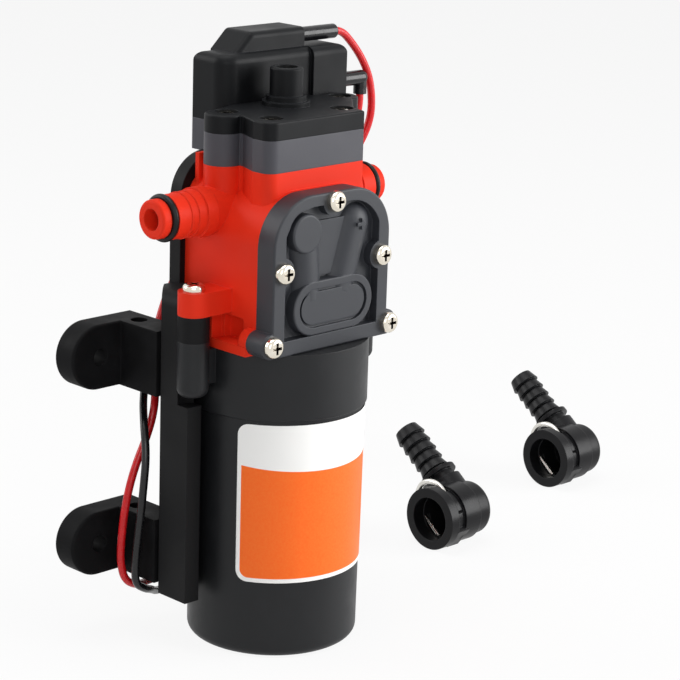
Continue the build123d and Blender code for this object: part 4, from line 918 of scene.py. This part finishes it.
@dataclass
class Wiring:
    """Leads of the pump, each one free cord along its route."""

    finishes: Finishes
    nodes: dict[str, bpy.types.Object]
    radius_mm: float = 1.05
    section_steps: int = 6
    curve_steps: int = 8
    routes: tuple[Route, ...] = (UPPER_LEAD, RED_LEAD, BLACK_LEAD)

    def build(self) -> None:
        """Make the three leads and dress their stripped ends."""
        for route in self.routes:
            self._lead(route)

    def _lead(self, route: Route) -> None:
        """Make one lead as a smooth curve.

        Args:
            route: The lead.
        """
        places = [Vector(point) * MM for point in route.points]
        curve = bpy.data.curves.new(route.name, "CURVE")
        curve.dimensions = "3D"
        curve.bevel_depth = self.radius_mm * MM
        curve.bevel_resolution = self.section_steps
        curve.use_fill_caps = True
        spline = curve.splines.new("NURBS")
        spline.points.add(len(places) - 1)
        for control, place in zip(spline.points, places):
            control.co = (*place, 1.0)
        spline.order_u = 3
        spline.use_endpoint_u = True
        spline.resolution_u = self.curve_steps
        piece = link_piece(route.name, curve)
        self.finishes.dress(piece, route.finish)
        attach(piece, Body.PUMP.value)
        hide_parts(*route.nodes)
        ends = []
        if route.bare_end:
            ends.append(self.nodes[route.bare_end])
            self.finishes.dress(ends[0], "copper")


@dataclass
class Label:
    """Wrap-round label on the front of the can, with rounded corners."""

    finishes: Finishes
    low_mm: float = 20.9
    height_mm: float = 42.4
    half_angle_deg: float = 68.0
    low_radius_mm: float = 22.5
    high_radius_mm: float = 22.9
    can_height_mm: float = 64.3
    can_edge_mm: float = 2.6
    lift_mm: float = 0.24
    corner_mm: float = 3.0
    corner_step_deg: int = 15
    strip_deg: float = 2.0
    mean_rise_mm: float = 0.4

    @property
    def unrolled_radius_mm(self) -> float:
        """Radius of the can at which the flat vinyl keeps its width.

        Returns:
            Radius in millimetres.
        """
        return self.low_radius_mm + self.mean_rise_mm

    def build(self) -> None:
        """Make the label, flat at first, then laid on the can."""
        half_width = math.radians(self.half_angle_deg) * self.unrolled_radius_mm
        flat = bmesh.new()
        flat.faces.new([flat.verts.new((x, 0.0, z)) for x, z in self._outline(half_width)])
        step = math.radians(self.strip_deg) * self.unrolled_radius_mm
        count = int(half_width / step)
        for number in range(-count, count + 1):
            bmesh.ops.bisect_plane(flat, geom=flat.verts[:] + flat.edges[:] + flat.faces[:],
                                   plane_co=(number * step, 0, 0), plane_no=(1, 0, 0))
        layer = flat.loops.layers.uv.new("label")
        for face in flat.faces:
            for loop in face.loops:
                loop[layer].uv = (loop.vert.co.x / UV_UNIT_MM, loop.vert.co.z / UV_UNIT_MM)
        for vert in flat.verts:
            vert.co = self._wrap(vert.co.x, vert.co.z)
        bmesh.ops.recalc_face_normals(flat, faces=flat.faces)
        mesh = bpy.data.meshes.new("label_wrap")
        flat.to_mesh(mesh)
        flat.free()
        mesh.polygons.foreach_set("use_smooth", [True] * len(mesh.polygons))
        piece = link_piece("label_wrap", mesh)
        # Orange ink on white vinyl, a little uneven along its fibres, with a satin skin
        finish = PrintedVinyl("printed_vinyl_orange", "#FF6415", "#FF7C30", "#FAFAF8", half_width,
                              self.height_mm / 2)
        mesh.materials.append(finish.build())
        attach(piece, Body.PUMP.value)
        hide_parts("label_band")

    def _outline(self, half_width: float) -> list[tuple[float, float]]:
        """Flat outline with rounded corners, about the label's centre.

        Args:
            half_width: Half the unrolled width in millimetres.

        Returns:
            Outline points in millimetres.
        """
        half_height = self.height_mm / 2
        points = []
        for turn, (sx, sz) in enumerate(((1, 1), (-1, 1), (-1, -1), (1, -1))):
            centre = (sx * (half_width - self.corner_mm), sz * (half_height - self.corner_mm))
            for step in range(RIGHT_ANGLE_DEG // self.corner_step_deg + 1):
                angle = math.radians(RIGHT_ANGLE_DEG * turn + self.corner_step_deg * step)
                points.append((centre[0] + self.corner_mm * math.cos(angle),
                               centre[1] + self.corner_mm * math.sin(angle)))
        return points

    def _wrap(self, along: float, up: float) -> Vector:
        """Lay a flat point on the can.

        Args:
            along: Distance round the can from the front, in millimetres.
            up: Height above the label's centre, in millimetres.

        Returns:
            Place in metres.
        """
        height = self.low_mm + self.height_mm / 2 + up
        share = (height - self.can_edge_mm) / (self.can_height_mm - self.can_edge_mm)
        radius = self.low_radius_mm + (self.high_radius_mm - self.low_radius_mm) * share + self.lift_mm
        angle = along / self.unrolled_radius_mm
        return Vector((radius * math.sin(angle), -radius * math.cos(angle), height)) * MM


@dataclass
class PumpParts:
    """CAD nodes that keep their own mesh and get a finish."""

    finishes: Finishes
    nodes: dict[str, bpy.types.Object]

    def build(self) -> None:
        """Dress every CAD node."""
        plain = {
            "can": ("motor_can", "motor_flange"),
            "steel": ("armature", "crank", "crank_bearing", "front_bearing", "rear_bearing",
                      "pressure_spring"),
            "ferrite": ("magnet_left", "magnet_right"),
            "carbon": ("brush_left", "brush_right"),
            "housing": ("pump_housing",),
            "cover": ("valve_cover",),
            "switch_base": ("switch_base",),
            "switch": ("switch_cover", "switch_housing", "piston", "yoke", "valve_plate"),
            "bracket": ("mounting_bracket",),
            "foot": ("foot_lower_left", "foot_lower_right", "foot_upper_left", "foot_upper_right",
                     "lead_grommet"),
            "o_ring": ("diaphragm", "inlet_valve", "outlet_valve", "port_ring_left", "port_ring_right"),
            "elbow": ("elbow_1", "elbow_2"),
            "clip": ("elbow_clip_1", "elbow_clip_2"),
            "brass": ("upper_tab", "lower_tab"),
            "sleeve": ("upper_sleeve", "lower_boot"),
            "screw": ("adjuster", *(name for name in self.nodes if "screw" in name or "bolt" in name)),
        }
        for finish, names in plain.items():
            for name in names:
                self.finishes.dress(self.nodes[name], finish)


def main() -> None:
    """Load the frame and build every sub-assembly."""
    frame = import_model()
    Studio().build()
    finishes = Finishes()
    finishes.build()
    LOG.info("finishes: %d", len(finishes.made))
    Wiring(finishes, frame["nodes"]).build()
    LOG.info("leads laid")
    PumpParts(finishes, frame["nodes"]).build()
    Label(finishes).build()
    LOG.info("label laid")


if __name__ == "__main__":
    logging.basicConfig(level=logging.INFO, format="%(name)s: %(message)s")
    main()
